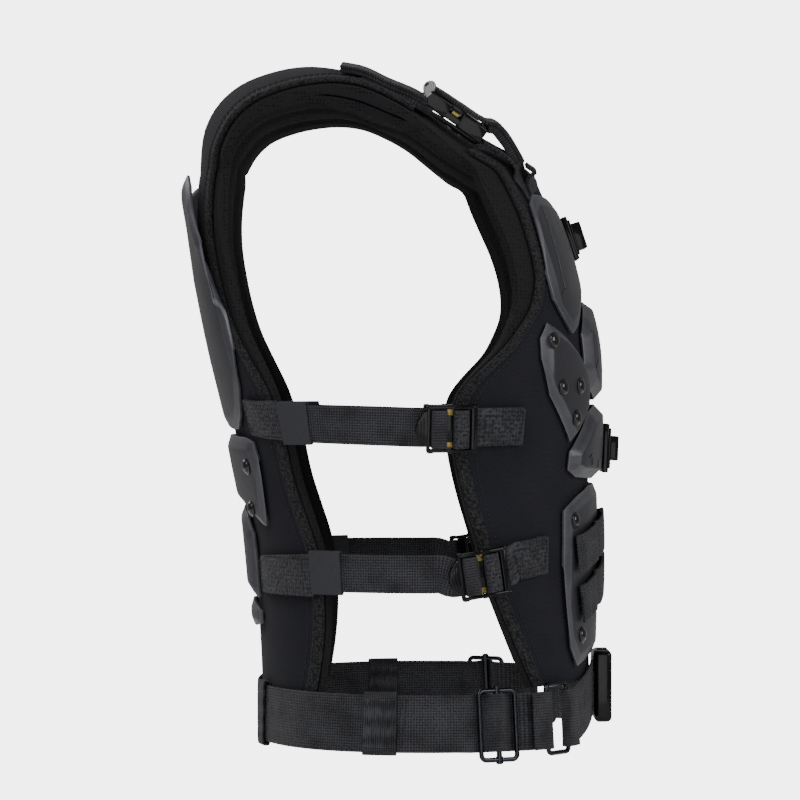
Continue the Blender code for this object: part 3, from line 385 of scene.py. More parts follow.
def cloth_surface():
    """The cloth from the front hem to the back hem as fine rows, with normals and setbacks."""
    def body_rows(table, from_back):
        return [np.array([torso_spot(girth, z, from_back) for girth in np.linspace(neck, arm, FINE)])
                for z, neck, arm, _ in table]

    rows = body_rows(FRONT_ROWS, False) + [shoulder_curve(row) for row in SHOULDER_ROWS]
    rows += body_rows(BACK_ROWS, True)
    setbacks = [row[-1] for row in FRONT_ROWS + SHOULDER_ROWS + BACK_ROWS]
    grid = fair(np.array(rows), FINE_STEPS)
    places = np.arange(len(grid)) / FINE_STEPS
    inside = np.interp(places, range(len(setbacks)), setbacks)
    necks = [row[1] for row in FRONT_ROWS] + [1.0] * len(SHOULDER_ROWS) + [row[1] for row in BACK_ROWS]
    for place, row in zip(places, grid):
        if max(necks[int(place)], necks[min(int(math.ceil(place)), len(necks) - 1)]) == 0.0:
            row[0, 0] = 0.0
    normals = np.cross(np.gradient(grid, axis=1), np.gradient(grid, axis=0))
    normals /= np.linalg.norm(normals, axis=2)[:, :, None]
    if np.sum(normals * (grid - TORSO_CENTRE)) < 0:
        normals = -normals
    normals[np.abs(grid[:, :, 0]) < ON_CENTRE, 0] = 0.0
    normals /= np.linalg.norm(normals, axis=2)[:, :, None]
    return grid, normals, inside


CLOTH, CLOTH_NORMALS, SETBACKS = cloth_surface()
LAST_PLACE = (len(CLOTH) - 1) / FINE_STEPS
# Each panel's name, and where it starts and ends from hem to hem
PANEL_SPANS = (
    ("front", 0.0, len(FRONT_ROWS) + FRONT_PANEL_END - 1),
    ("back", len(FRONT_ROWS) + BACK_PANEL_START, LAST_PLACE),
)


def run_lengths(points):
    """Distance along a line of points, at each of them."""
    return np.concatenate(([0.0], np.cumsum(np.linalg.norm(np.diff(points, axis=0), axis=1))))


def between(values, lengths, along):
    """A point or normal at a distance along a line of them."""
    return np.array([np.interp(along, lengths, values[:, k]) for k in range(3)])


def cloth_row(place):
    """Row of the cloth at a place from hem to hem: points, normals, lengths and setback."""
    at = min(max(place, 0.0), LAST_PLACE) * FINE_STEPS
    k = min(int(at), len(CLOTH) - 2)
    t = at - k
    points = CLOTH[k] * (1 - t) + CLOTH[k + 1] * t
    normals = CLOTH_NORMALS[k] * (1 - t) + CLOTH_NORMALS[k + 1] * t
    return points, normals, run_lengths(points), SETBACKS[k] * (1 - t) + SETBACKS[k + 1] * t


def cloth_rows(places):
    return {round(place, 6): cloth_row(place) for place in places}


def cloth_at(row, inset, lift):
    """Point and normal on a cloth row at a distance in from its arm edge."""
    points, normals, lengths, _ = row
    along = min(max(lengths[-1] - inset, 0.0), lengths[-1])
    point = between(points, lengths, along)
    normal = unit(between(normals, lengths, along))
    if inset < 0:
        point = point - unit(points[-1] - points[-2]) * inset
    return point + normal * lift, normal


def deselect():
    if bpy.context.mode != "OBJECT":
        bpy.ops.object.mode_set(mode="OBJECT")
    bpy.ops.object.select_all(action="DESELECT")


def choose(made):
    deselect()
    made.select_set(True)
    bpy.context.view_layer.objects.active = made


def modify(made, kind, **settings):
    """Adds a modifier with its settings and applies it."""
    choose(made)
    change = made.modifiers.new(kind.title(), kind)
    for key, value in settings.items():
        setattr(change, key, value)
    bpy.ops.object.modifier_apply(modifier=change.name)


def smooth_finish(made, degrees):
    """Smooth faces, with the edges sharper than an angle kept."""
    choose(made)
    bpy.ops.object.shade_smooth_by_angle(angle=math.radians(degrees))


def settle(made):
    """Puts the object's place into its mesh."""
    choose(made)
    bpy.ops.object.transform_apply(location=True, rotation=True, scale=True)


def edit_all(made, *changes):
    """Runs edit-mode operators, each with its settings, on all of a mesh."""
    choose(made)
    bpy.ops.object.mode_set(mode="EDIT")
    bpy.ops.mesh.select_all(action="SELECT")
    for change, settings in changes:
        change(**settings)
    bpy.ops.object.mode_set(mode="OBJECT")


def bevel_edges(made, width, degrees=30, segments=2):
    """Rounds the edges that are sharper than an angle."""
    modify(made, "BEVEL", width=width, segments=segments, limit_method="ANGLE",
           angle_limit=math.radians(degrees))


def even(first, last, count):
    return list(np.linspace(first, last, count))


def laid_grid(name, across, along, place, length, width):
    """A grid primitive laid on a surface; place gives point and normal, and its UV map is in metres."""
    deselect()
    bpy.ops.mesh.primitive_grid_add(x_subdivisions=len(across) - 1, y_subdivisions=len(along) - 1, size=1.0)
    made = bpy.context.object
    made.name = name
    mesh = made.data
    if len(mesh.vertices) != len(across) * len(along):
        raise RuntimeError("%s: the grid has %d vertices" % (name, len(mesh.vertices)))
    cells, normals = [], []
    for vertex in mesh.vertices:
        i = int(round((vertex.co.x + 0.5) * (len(across) - 1)))
        j = int(round((vertex.co.y + 0.5) * (len(along) - 1)))
        point, normal = place(across[i], along[j])
        vertex.co = Vector(point)
        cells.append((i, j))
        normals.append(normal)
    layer = mesh.uv_layers.active.data
    for corner in mesh.loops:
        i, j = cells[corner.vertex_index]
        u = (along[j] - along[0]) / (along[-1] - along[0])
        v = (across[i] - across[0]) / (across[-1] - across[0])
        layer[corner.index].uv = (u * length, v * width)
    mesh.update()
    match = sum(np.dot(face.normal, normals[face.vertices[0]]) for face in mesh.polygons)
    if match < 0:
        mesh.flip_normals()
    return made


def mirror_half(made):
    modify(made, "MIRROR", use_axis=(True, False, False), use_clip=True, merge_threshold=0.0001)


def twin(made, name):
    """A copy on the wearer's left, with its own mesh."""
    choose(made)
    bpy.ops.object.duplicate()
    other = bpy.context.object
    other.name = name
    other.scale = (-1.0, 1.0, 1.0)
    settle(other)
    edit_all(other, (bpy.ops.mesh.flip_normals, {}))
    return other


def inside_out(made):
    """Whether a closed mesh holds a negative volume."""
    shape = bmesh.new()
    shape.from_mesh(made.data)
    volume = shape.calc_volume(signed=True)
    shape.free()
    return volume < 0


def dress(made, look, slot, *nodes, padded=0.0):
    """Gives a piece its material, hangs it under the root and hides the solids that it stands for."""
    if inside_out(made):
        edit_all(made, (bpy.ops.mesh.flip_normals, {}))
    made.data.materials.clear()
    made.data.materials.append(look)
    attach(made, "root")
    if nodes:
        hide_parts(*nodes)


def dress_pair(made, look, slot, *nodes):
    """Dresses a right-hand piece and its twin on the left."""
    other = twin(made, made.name.replace("right", "left"))
    dress(made, look, slot, *nodes)
    dress(other, look, slot, *[node.replace("right", "left") for node in nodes])


def joined(pieces, name):
    choose(pieces[0])
    for piece in pieces:
        piece.select_set(True)
    if len(pieces) > 1:
        bpy.ops.object.join()
    made = bpy.context.view_layer.objects.active
    made.name = name
    return made


def cut_away(made, cutter):
    modify(made, "BOOLEAN", operation="DIFFERENCE", solver="EXACT", object=cutter)
    bpy.data.objects.remove(cutter, do_unlink=True)


def turned_to(centre, along, across, out):
    """Matrix that takes a piece's own x, y and z axes to three directions at a place."""
    matrix = Matrix.Identity(4)
    for column, axis in enumerate((along, across, out)):
        for row in range(3):
            matrix[row][column] = float(axis[row])
    for row in range(3):
        matrix[row][3] = float(centre[row])
    return matrix


def box_piece(name, size, bevel, segments, at=(0.0, 0.0, 0.0)):
    """A cube primitive at its size, with rounded edges."""
    deselect()
    bpy.ops.mesh.primitive_cube_add(size=1.0, location=at)
    made = bpy.context.object
    made.name = name
    made.scale = size
    settle(made)
    if bevel:
        bevel_edges(made, bevel, segments=segments)
    return made


def place_piece(made, matrix):
    """Moves a piece from its own axes to its place on the vest."""
    made.data.transform(matrix)
    made.data.update()
    return made


def add_node(tree, kind, links=None, **settings):
    """A node with its settings; links gives each input a value or another node's output."""
    made = tree.nodes.new(kind)
    for key, value in settings.items():
        setattr(made, key, value)
    for key, value in (links or {}).items():
        if isinstance(value, bpy.types.NodeSocket):
            tree.links.new(value, made.inputs[key])
        else:
            made.inputs[key].default_value = value
    return made


def new_material(name, base, roughness, pattern="Object", metallic=0.0, **sockets):
    """A material with constants on its sockets; returns it, its tree, shader and pattern coordinates."""
    made = bpy.data.materials.new(name)
    made.use_nodes = True
    tree = made.node_tree
    shader = tree.nodes["Principled BSDF"]
    shader.inputs["Base Color"].default_value = (*base, 1.0)
    shader.inputs["Roughness"].default_value = roughness
    shader.inputs["Metallic"].default_value = metallic
    for key, value in sockets.items():
        shader.inputs[key.replace("_", " ")].default_value = value
    made.diffuse_color = (*base, 1.0)
    return made, tree, shader, add_node(tree, "ShaderNodeTexCoord").outputs[pattern]


def shade(base, factor):
    """A darker or lighter tone of a colour."""
    return tuple(min(channel * factor, 1.0) for channel in base) + (1.0,)


def mixed_colour(tree, shader, factor, first, second):
    """Base colour that goes from the first colour to the second with the factor."""
    mix = add_node(tree, "ShaderNodeMix", {0: factor, 6: first, 7: second}, data_type="RGBA")
    tree.links.new(mix.outputs[2], shader.inputs["Base Color"])


def uneven_gloss(tree, shader, factor, low, high, start=0.0, end=1.0):
    """Roughness that goes from low to high as the factor goes from start to end."""
    gloss = add_node(tree, "ShaderNodeMapRange", {0: factor, 1: start, 2: end, 3: low, 4: high})
    tree.links.new(gloss.outputs[0], shader.inputs["Roughness"])


def bumped(tree, shader, height, strength, distance):
    """Fine relief from a pattern, with its depth in metres."""
    bump = add_node(tree, "ShaderNodeBump", {"Height": height, "Strength": strength, "Distance": distance})
    tree.links.new(bump.outputs["Normal"], shader.inputs["Normal"])


def wave_scale(pitch):
    """Scale of a band wave whose bands repeat at a pitch in metres."""
    return 2 * math.pi / (20 * pitch)


def woven(name, pitch, speckle, contrast):
    """Nylon weave: ribs across the tape, broken up by the yarns that cross them."""
    base = tuple(colours().webbing)
    made, tree, shader, spot = new_material(name, base, 0.68, "UV", IOR=1.53, Specular_IOR_Level=0.16,
                                            Sheen_Weight=0.04)
    ribs = add_node(tree, "ShaderNodeTexWave", {"Vector": spot, "Scale": wave_scale(pitch),
                                                "Distortion": 0.8}, bands_direction="X")
    # The crossing yarns lie a little further apart than the ribs
    cords = add_node(tree, "ShaderNodeTexWave", {"Vector": spot, "Scale": wave_scale(1.3 * pitch),
                                                 "Distortion": 0.8}, bands_direction="Y")
    yarn = add_node(tree, "ShaderNodeTexNoise", {"Vector": spot, "Scale": 1 / speckle, "Detail": 2.0})
    sharp = add_node(tree, "ShaderNodeMapRange", {0: yarn.outputs[0], 1: 0.36, 2: 0.64})
    # Wear in patches about 17 mm across
    worn = add_node(tree, "ShaderNodeTexNoise", {"Vector": spot, "Scale": 60.0, "Detail": 3.0})
    both = add_node(tree, "ShaderNodeMath", {0: ribs.outputs["Fac"], 1: cords.outputs["Fac"]},
                    operation="ADD")
    level = add_node(tree, "ShaderNodeMath", {0: sharp.outputs[0], 1: contrast, 2: both.outputs[0]},
                     operation="MULTIPLY_ADD")
    tone = add_node(tree, "ShaderNodeMath", {0: level.outputs[0], 1: worn.outputs[0]}, operation="MULTIPLY")
    clear = add_node(tree, "ShaderNodeMapRange", {0: tone.outputs[0], 1: 0.3, 2: 0.5 * contrast + 0.65})
    mixed_colour(tree, shader, clear.outputs[0], shade(base, 0.12), shade(base, 2.0))
    bumped(tree, shader, level.outputs[0], 0.6, 0.0005)
    return made


def woven_webbing():
    """Nylon webbing, woven with ribs 1.4 mm apart: matte, with a faint sheen on the ribs."""
    return woven("woven_nylon_webbing", 0.0014, 0.0011, 0.8)


def stippled_webbing():
    """Doubled webbing, sewn through in close rows: coarsely speckled, matte."""
    return woven("quilted_nylon_webbing", 0.0021, 0.0022, 2.6)


def brushed_cloth():
    """Polyester cloth brushed to a soft face: very matte, with a fine twill and slight mottling."""
    base = tuple(colours().panel)
    made, tree, shader, spot = new_material("brushed_polyester_cloth", base, 0.9, IOR=1.5,
                                            Specular_IOR_Level=0.08, Sheen_Weight=0.02)
    # Twill ridges 2.2 mm apart, 450 to the metre, drawn coarser than the real 0.5 mm so that they show.
    # The bands of a diagonal wave lie wider apart than an upright one's, by the square root of two
    twill_scale = wave_scale(1 / 450) * math.sqrt(2)
    twill = add_node(tree, "ShaderNodeTexWave", {"Vector": spot, "Scale": twill_scale, "Distortion": 0.6,
                                                 "Detail": 1.0}, bands_direction="DIAGONAL")
    # Nap about 1.1 mm across and mottling about 40 mm across
    nap = add_node(tree, "ShaderNodeTexNoise", {"Vector": spot, "Scale": 900.0, "Detail": 3.0})
    cloud = add_node(tree, "ShaderNodeTexNoise", {"Vector": spot, "Scale": 24.0, "Detail": 4.0})
    level = add_node(tree, "ShaderNodeMath", {0: twill.outputs["Fac"], 1: 0.12, 2: nap.outputs[0]},
                     operation="MULTIPLY_ADD")
    tone = add_node(tree, "ShaderNodeMath", {0: level.outputs[0], 1: cloud.outputs[0]}, operation="MULTIPLY")
    mixed_colour(tree, shader, tone.outputs[0], shade(base, 0.7), shade(base, 2.0))
    bumped(tree, shader, nap.outputs[0], 0.3, 0.0003)
    return made


def spacer_knit():
    """Spacer knit over foam: small round holes in rows, matte."""
    base = tuple(colours().pad)
    made, tree, shader, spot = new_material("knitted_spacer_mesh", base, 0.9, IOR=1.5,
                                            Specular_IOR_Level=0.08, Sheen_Weight=0.02)
    # Holes 2.6 mm apart, as on a spacer knit
    cells = add_node(tree, "ShaderNodeTexVoronoi", {"Vector": spot, "Scale": 1 / 0.0026, "Randomness": 0.35})
    yarn = add_node(tree, "ShaderNodeTexNoise", {"Vector": spot, "Scale": 1100.0, "Detail": 2.0})
    hole = add_node(tree, "ShaderNodeMapRange", {0: cells.outputs["Distance"], 1: 0.18, 2: 0.42})
    level = add_node(tree, "ShaderNodeMath", {0: yarn.outputs[0], 1: 0.35, 2: hole.outputs[0]},
                     operation="MULTIPLY_ADD")
    mixed_colour(tree, shader, level.outputs[0], shade(base, 0.35), shade(base, 1.5))
    bumped(tree, shader, level.outputs[0], 0.6, 0.0006)
    return made


def ribbed_tape():
    """Knitted binding tape: matte, with small loops that stand out paler than the cloth."""
    base = tuple(colours().binding)
    made, tree, shader, spot = new_material("knitted_binding_tape", base, 0.85, "UV", IOR=1.5,
                                            Specular_IOR_Level=0.12, Sheen_Weight=0.03)
    # Knit loops 1.6 mm apart
    cells = add_node(tree, "ShaderNodeTexVoronoi", {"Vector": spot, "Scale": 1 / 0.0016, "Randomness": 0.7})
    loops = add_node(tree, "ShaderNodeMapRange", {0: cells.outputs["Distance"], 1: 0.15, 2: 0.75,
                                                  3: 1.0, 4: 0.0})
    yarn = add_node(tree, "ShaderNodeTexNoise", {"Vector": spot, "Scale": 1300.0, "Detail": 2.0})
    level = add_node(tree, "ShaderNodeMath", {0: yarn.outputs[0], 1: loops.outputs[0]}, operation="MULTIPLY")
    mixed_colour(tree, shader, level.outputs[0], shade(base, 0.2), shade(base, 3.4))
    bumped(tree, shader, loops.outputs[0], 0.7, 0.0005)
    return made


def moulded_plate():
    """Injection-moulded nylon plate: satin, finely grained, pale on its rim and bevels from wear and a
    painted highlight.
    """
    base = tuple(colours().plate)
    edge = (*colours().plate_edge_wear_and_highlight, 1.0)
    made, tree, shader, spot = new_material("moulded_nylon_plate", base, 0.42, IOR=1.53,
                                            Specular_IOR_Level=0.35)
    # Moulded grain 0.7 mm across
    grain = add_node(tree, "ShaderNodeTexNoise", {"Vector": spot, "Scale": 1 / 0.0007, "Detail": 2.0})
    scuff = add_node(tree, "ShaderNodeTexNoise", {"Vector": spot, "Scale": 45.0, "Detail": 5.0,
                                                  "Roughness": 0.65})
    # Rims and bevels mixed towards the pale edge colour: wear and a painted highlight, broken up by the scuff
    # noise
    rim = add_node(tree, "ShaderNodeAttribute", attribute_name="wear_and_highlight")
    patchy = add_node(tree, "ShaderNodeMapRange", {0: scuff.outputs[0], 1: 0.25, 2: 0.7, 3: 0.45, 4: 1.0})
    worn_and_highlit = add_node(tree, "ShaderNodeMath", {0: rim.outputs["Fac"], 1: patchy.outputs[0]},
                      operation="MULTIPLY")
    mottled = add_node(tree, "ShaderNodeMix", {0: scuff.outputs[0], 6: shade(base, 0.8),
                                               7: shade(base, 1.25)}, data_type="RGBA")
    mixed_colour(tree, shader, worn_and_highlit.outputs[0], mottled.outputs[2], edge)
    uneven_gloss(tree, shader, scuff.outputs[0], 0.36, 0.48, start=0.3, end=0.7)
    bumped(tree, shader, grain.outputs[0], 0.12, 0.0003)
    return made


def moulded_buckle():
    """Injection-moulded acetal: near black, smooth and fairly glossy, with faint handling marks."""
    base = tuple(colours().buckle)
    made, tree, shader, spot = new_material("moulded_acetal_buckle", base, 0.22, IOR=1.48,
                                            Specular_IOR_Level=0.08, Coat_Weight=0.16, Coat_Roughness=0.08)
    marks = add_node(tree, "ShaderNodeTexNoise", {"Vector": spot, "Scale": 160.0, "Detail": 4.0})
    uneven_gloss(tree, shader, marks.outputs[0], 0.14, 0.28, start=0.3, end=0.7)
    mixed_colour(tree, shader, marks.outputs[0], shade(base, 0.8), shade(base, 1.5))
    bumped(tree, shader, marks.outputs[0], 0.06, 0.0004)
    return made


def rivet_cap():
    """Polished black rivet cap: deep black and glossy, so that it carries a bright highlight."""
    made, tree, shader, spot = new_material("polished_rivet_cap", linear("#08080a"), 0.13, IOR=1.5,
                                            Specular_IOR_Level=0.25, Coat_Weight=0.3)
    marks = add_node(tree, "ShaderNodeTexNoise", {"Vector": spot, "Scale": 500.0, "Detail": 3.0})
    uneven_gloss(tree, shader, marks.outputs[0], 0.08, 0.22)
    return made


def bonded_thread():
    """Bonded nylon thread: twisted, slightly lighter than the cloth that it sews."""
    base = tuple(colours().thread)
    made, tree, shader, spot = new_material("bonded_nylon_thread", base, 0.6, IOR=1.53,
                                            Specular_IOR_Level=0.2)
    ply = add_node(tree, "ShaderNodeTexNoise", {"Vector": spot, "Scale": 2500.0})
    mixed_colour(tree, shader, ply.outputs[0], shade(base, 0.7), shade(base, 1.4))
    return made


def elastic_loop():
    """Elastic knitted over rubber: smoother and a little lighter than webbing, with fine ribs."""
    base = tuple(colours().webbing)
    made, tree, shader, spot = new_material("knitted_elastic", shade(base, 1.25)[:3], 0.78, "UV", IOR=1.5,
                                            Specular_IOR_Level=0.25)
    # Ribs 0.9 mm apart across the elastic
    ribs = add_node(tree, "ShaderNodeTexWave", {"Vector": spot, "Scale": wave_scale(0.0009)},
                    bands_direction="X")
    yarn = add_node(tree, "ShaderNodeTexNoise", {"Vector": spot, "Scale": 1200.0})
    level = add_node(tree, "ShaderNodeMath", {0: yarn.outputs[0], 1: 0.8, 2: ribs.outputs["Fac"]},
                     operation="MULTIPLY_ADD")
    mixed_colour(tree, shader, level.outputs[0], shade(base, 0.9), shade(base, 1.7))
    bumped(tree, shader, level.outputs[0], 0.25, 0.0003)
    return made


def plated_wire():
    """Steel wire, black plated: dark and glossy, so that it carries long bright highlights."""
    base = tuple(colours().steel)
    made, tree, shader, spot = new_material("black_plated_steel", base, 0.22, metallic=1.0)
    wear = add_node(tree, "ShaderNodeTexNoise", {"Vector": spot, "Scale": 220.0, "Detail": 3.0})
    uneven_gloss(tree, shader, wear.outputs[0], 0.12, 0.24)
    mixed_colour(tree, shader, wear.outputs[0], shade(base, 0.8), shade(base, 1.3))
    return made


def brass_plate():
    """Lacquered brass, stamped: warm and satin."""
    base = tuple(colours().brass)
    made, tree, shader, spot = new_material("lacquered_brass", base, 0.3, metallic=1.0)
    wear = add_node(tree, "ShaderNodeTexNoise", {"Vector": spot, "Scale": 300.0, "Detail": 3.0})
    mixed_colour(tree, shader, wear.outputs[0], shade(base, 0.6), shade(base, 1.2))
    return made


def bare_webbing():
    """The folded webbing at the buckle, pale grey as a painted highlight where the fold catches light."""
    # Pale greys: a painted highlight on the fold
    made, tree, shader, spot = new_material("undyed_webbing_face", linear("#6a6a68"), 0.8, "UV", IOR=1.53)
    # Ribs 1.7 mm apart
    ribs = add_node(tree, "ShaderNodeTexWave", {"Vector": spot, "Scale": wave_scale(0.0017)},
                    bands_direction="X")
    mixed_colour(tree, shader, ribs.outputs["Fac"], (*linear("#4c4c4b"), 1.0), (*linear("#8c8c89"), 1.0))
    bumped(tree, shader, ribs.outputs["Fac"], 0.5, 0.0004)
    return made


FINISHES = {}


def finish(maker):
    """Each material is made once and shared."""
    if maker.__name__ not in FINISHES:
        FINISHES[maker.__name__] = maker()
    return FINISHES[maker.__name__]


def thicken(made, thickness):
    """Gives a sheet its wall, inwards from its face."""
    modify(made, "SOLIDIFY", thickness=thickness, offset=-1.0, use_even_offset=False)


def panel_grid(name, first, last):
    """Half of a panel's cloth, from its centre line or neck edge to under the binding."""
    places = even(first, last, int((last - first) * 4) + 1)
    rows = cloth_rows(places)
    fractions = even(0.0, 0.9, 14) + [0.94, 0.97, 1.0]

    def place(fraction, at):
        row = rows[round(at, 6)]
        whole = row[2][-1]
        end = row[3] + PANEL_TUCK
        inset = whole + (end - whole) * fraction
        dip = -PANEL_DIP if inset < row[3] + BINDING_WIDTH + 0.0004 else 0.0
        return cloth_at(row, inset, dip)

    made = laid_grid(name, fractions, places, place, PANEL_LENGTH, PANEL_WIDTH)
    mirror_half(made)
    thicken(made, PANEL_THICK - 0.0006)
    bevel_edges(made, 0.0009, WALL_BEVEL)
    smooth_finish(made, CLOTH_EDGE)
    return made


class VEST_OT_inner_pad(bpy.types.Operator):
    """Adds the foam pad in its spacer knit, with rolled edges"""
    bl_idname = "vest.inner_pad"
    bl_label = "Inner pad"

    def execute(self, context):
        places = even(0.0, LAST_PLACE, int(LAST_PLACE * 3) + 1)
        rows = cloth_rows(places)
        # From the centre line to the arm edge, closer together near both
        fractions = [0.0, 0.03, 0.08, 0.17, 0.28, 0.40, 0.52, 0.64, 0.75, 0.84, 0.90, 0.94, 0.97, 0.988, 1.0]

        def place(fraction, at):
            row = rows[round(at, 6)]
            inset = row[2][-1] * (1 - fraction)
            return cloth_at(row, inset, PAD_TOP - 0.0002)

        made = laid_grid("inner_pad_knit", fractions, places, place, 2 * PANEL_LENGTH, PANEL_WIDTH)
        mirror_half(made)
        edge_distance(made)
        thicken(made, PAD_THICK - 0.0004)
        bevel_edges(made, 0.0026, WALL_BEVEL, 3)
        modify(made, "SUBSURF", levels=1, render_levels=1)
        swell_inwards(made, sizes().pad_swell)
        smooth_finish(made, SOFT_EDGE)
        dress(made, finish(spacer_knit), "pad_knit", "inner_pad", padded=0.5)
        return {"FINISHED"}


def edge_distance(made):
    """Writes each vertex's distance from the open edge into an attribute."""
    mesh = made.data
    shape = bmesh.new()
    shape.from_mesh(mesh)
    rim = np.array([vertex.co[:] for vertex in shape.verts if vertex.is_boundary])
    shape.free()
    spots = np.array([vertex.co[:] for vertex in mesh.vertices])
    layer = mesh.attributes.new("from_edge", "FLOAT", "POINT")
    for index, spot in enumerate(spots):
        layer.data[index].value = float(np.sqrt(((rim - spot) ** 2).sum(axis=1).min()))


def swell_inwards(made, swell):
    """Swells the pad's inner face between its edges, with a sewn groove inside them."""
    mesh = made.data
    distances = [item.value for item in mesh.attributes["from_edge"].data]
    normals = [vertex.normal.copy() for vertex in mesh.vertices]
    for vertex, normal, distance in zip(mesh.vertices, normals, distances):
        facing = Vector((vertex.co.x, vertex.co.y - float(TORSO_CENTRE[1]), 0.0))
        if normal.dot(facing) < -0.01:
            rise = min(distance / PAD_ROLL, 1.0)
            groove = math.exp(-((distance - GROOVE_INSET) / GROOVE_WIDTH) ** 2)
            vertex.co += normal * (swell * rise - (swell + GROOVE_DEPTH) * groove)
    mesh.attributes.remove(mesh.attributes["from_edge"])
    mesh.update()


class VEST_OT_panels(bpy.types.Operator):
    """Adds the brushed cloth panels of the front and the back"""
    bl_idname = "vest.panels"
    bl_label = "Panels"

    def execute(self, context):
        for side, first, last in PANEL_SPANS:
            name = side + "_panel"
            dress(panel_grid(name + "_cloth", first, last), finish(brushed_cloth), "panel_fabric", name)
        return {"FINISHED"}


# Cross-section of the binding: distance in from the panel's edge, height over the panel
BINDING_PROFILE = (
    (0.0092, 0.0001), (0.0086, 0.0006), (0.0070, 0.0009), (0.0045, 0.0010), (0.0022, 0.0009),
    (0.0008, 0.0004), (0.0000, -0.0008), (0.0002, -0.0020), (0.0010, -0.0028), (0.0028, -0.0031),
)
# Step of the profile from which it faces inwards
BINDING_TURN = 6
FRONT_TAPE_LENGTH = 0.42
BACK_TAPE_LENGTH = 0.60
TAPE_WIDTH = 0.016
TAPE_THICK = 0.0007


def binding_tape(name, first, last):
    """Tape folded round the arm edge of a panel, on the right side."""
    places = even(first, last, int((last - first) * 5) + 1)
    rows = cloth_rows(places)

    def place(step, at):
        row = rows[round(at, 6)]
        inset, lift = BINDING_PROFILE[step]
        point, normal = cloth_at(row, row[3] + inset, lift)
        return point, normal * (1.0 if step < BINDING_TURN else -1.0)

    length = FRONT_TAPE_LENGTH if last < LAST_PLACE else BACK_TAPE_LENGTH
    made = laid_grid(name, range(len(BINDING_PROFILE)), places, place, length, TAPE_WIDTH)
    thicken(made, TAPE_THICK)
    modify(made, "SUBSURF", levels=1, render_levels=1)
    smooth_finish(made, SOFT_EDGE)
    return made


class VEST_OT_bindings(bpy.types.Operator):
    """Adds the knitted tape round the arm openings"""
    bl_idname = "vest.bindings"
    bl_label = "Bindings"

    def execute(self, context):
        for side, first, last in PANEL_SPANS:
            made = binding_tape(side + "_binding_tape_right", first, last)
            dress_pair(made, finish(ribbed_tape), "binding_tape", side + "_binding_right")
        return {"FINISHED"}


# A plate's levels run from 0 to 1, of which each bevel takes this share
BEVEL_SHARE = 0.2
# The most of a plate's height that a bevel takes
BEVEL_LIMIT = 0.35
# Half the gap between the two rows of a crease, the rows near the rim, and the rows of the field
CREASE = 0.0006
RIM_BAND = 0.0035
RIM_EDGE = 0.0008
FIELD_STEP = 0.006


def plate_spot(plate, girth, z, proud=0.0):
    """Point and normal on a plate's outer face, at a girth and a height."""
    from_back, rim, lift, flare, crown, table = PLATES[plate]
    girths = [row[0] for row in table]
    top = float(np.interp(girth, girths, [row[1] for row in table]))
    low = float(np.interp(girth, girths, [row[2] for row in table]))
    height = max(top - low, 1e-6)
    bevel = min(PLATE_BEVEL, BEVEL_LIMIT * height)
    ends = [(girths[-1] - girth) / PLATE_BEVEL]
    if plate == "rib_plate":
        ends.append((girth - girths[0]) / PLATE_BEVEL)
    ramp = min([1.0, (top - z) / bevel, (z - low) / bevel] + ends)
    ramp = max(ramp, 0.0)
    middle = min(max((top - z) / height, 0.0), 1.0)
    upper = bevel + 0.18 * (height - 2 * bevel)
    flared = float(np.interp(top - z, (0.0, bevel, upper, 0.5 * height), (0.9, 1.0, 0.2, 0.0)))
    arch = crown * math.sin(math.pi * middle) * min(max(ends[0] / 3.0, 0.0), 1.0)
    return on_torso(girth, z, rim + lift * ramp + flare * flared + arch + proud, from_back)


def plate_levels():
    """Levels from a plate's top to its foot: the rims, both sides of each crease, and the field."""
    near = [level * BEVEL_SHARE for level in (0.0, 0.10, 0.45, 0.93, 1.07)]
    return near + even(near[-1], 1 - near[-1], 9)[1:-1] + [1 - level for level in reversed(near)]


def plate_girths(plate):
    """Girths across a plate: the rims, both sides of each crease, and the field."""
    girths = [row[0] for row in PLATES[plate][-1]]
    first, outer = girths[0], girths[-1]
    crease = outer - PLATE_BEVEL
    rim = [crease + CREASE, outer - RIM_BAND, outer - RIM_EDGE, outer]
    if plate == "rib_plate":
        across = [first, first + RIM_EDGE, first + RIM_BAND, first + PLATE_BEVEL - CREASE]
        across += even(first + PLATE_BEVEL + CREASE, crease - CREASE, 8) + rim
    else:
        across = even(first, crease - CREASE, max(int((outer - first) / FIELD_STEP), 6)) + rim
    corners = [girth for girth in girths if min(abs(girth - other) for other in across) > 2 * CREASE]
    return sorted(set(across + corners))


def plate_shell(name, plate):
    """A plate's shell over its sections, with its rim and bevels marked for wear and a painted highlight."""
    table = PLATES[plate][-1]
    girths = [row[0] for row in table]
    across = plate_girths(plate)
    levels = plate_levels()

    def place(girth, level):
        top = float(np.interp(girth, girths, [row[1] for row in table]))
        low = float(np.interp(girth, girths, [row[2] for row in table]))
        height = top - low
        share = min(PLATE_BEVEL, BEVEL_LIMIT * height) / height
        part = float(np.interp(level, (0.0, BEVEL_SHARE, 1 - BEVEL_SHARE, 1.0), (0.0, share, 1 - share, 1.0)))
        return plate_spot(plate, girth, top - height * part)

    made = laid_grid(name, across, levels, place, table[0][1] - table[0][2], girths[-1])
    # Marks the rim and bevels for wear and a painted highlight
    wear_and_highlight = made.data.attributes.new("wear_and_highlight", "FLOAT", "POINT")
    inner = girths[0] if plate == "rib_plate" else -1.0
    for index, item in enumerate(wear_and_highlight.data):
        item.value = wear_and_highlight_at(across[index % len(across)], levels[index // len(across)], girths[-1], inner)
    if plate != "rib_plate":
        mirror_half(made)
    thicken(made, PLATE_WALL)
    bevel_edges(made, 0.0005, WALL_BEVEL)
    smooth_finish(made, HARD_EDGE)
    return made


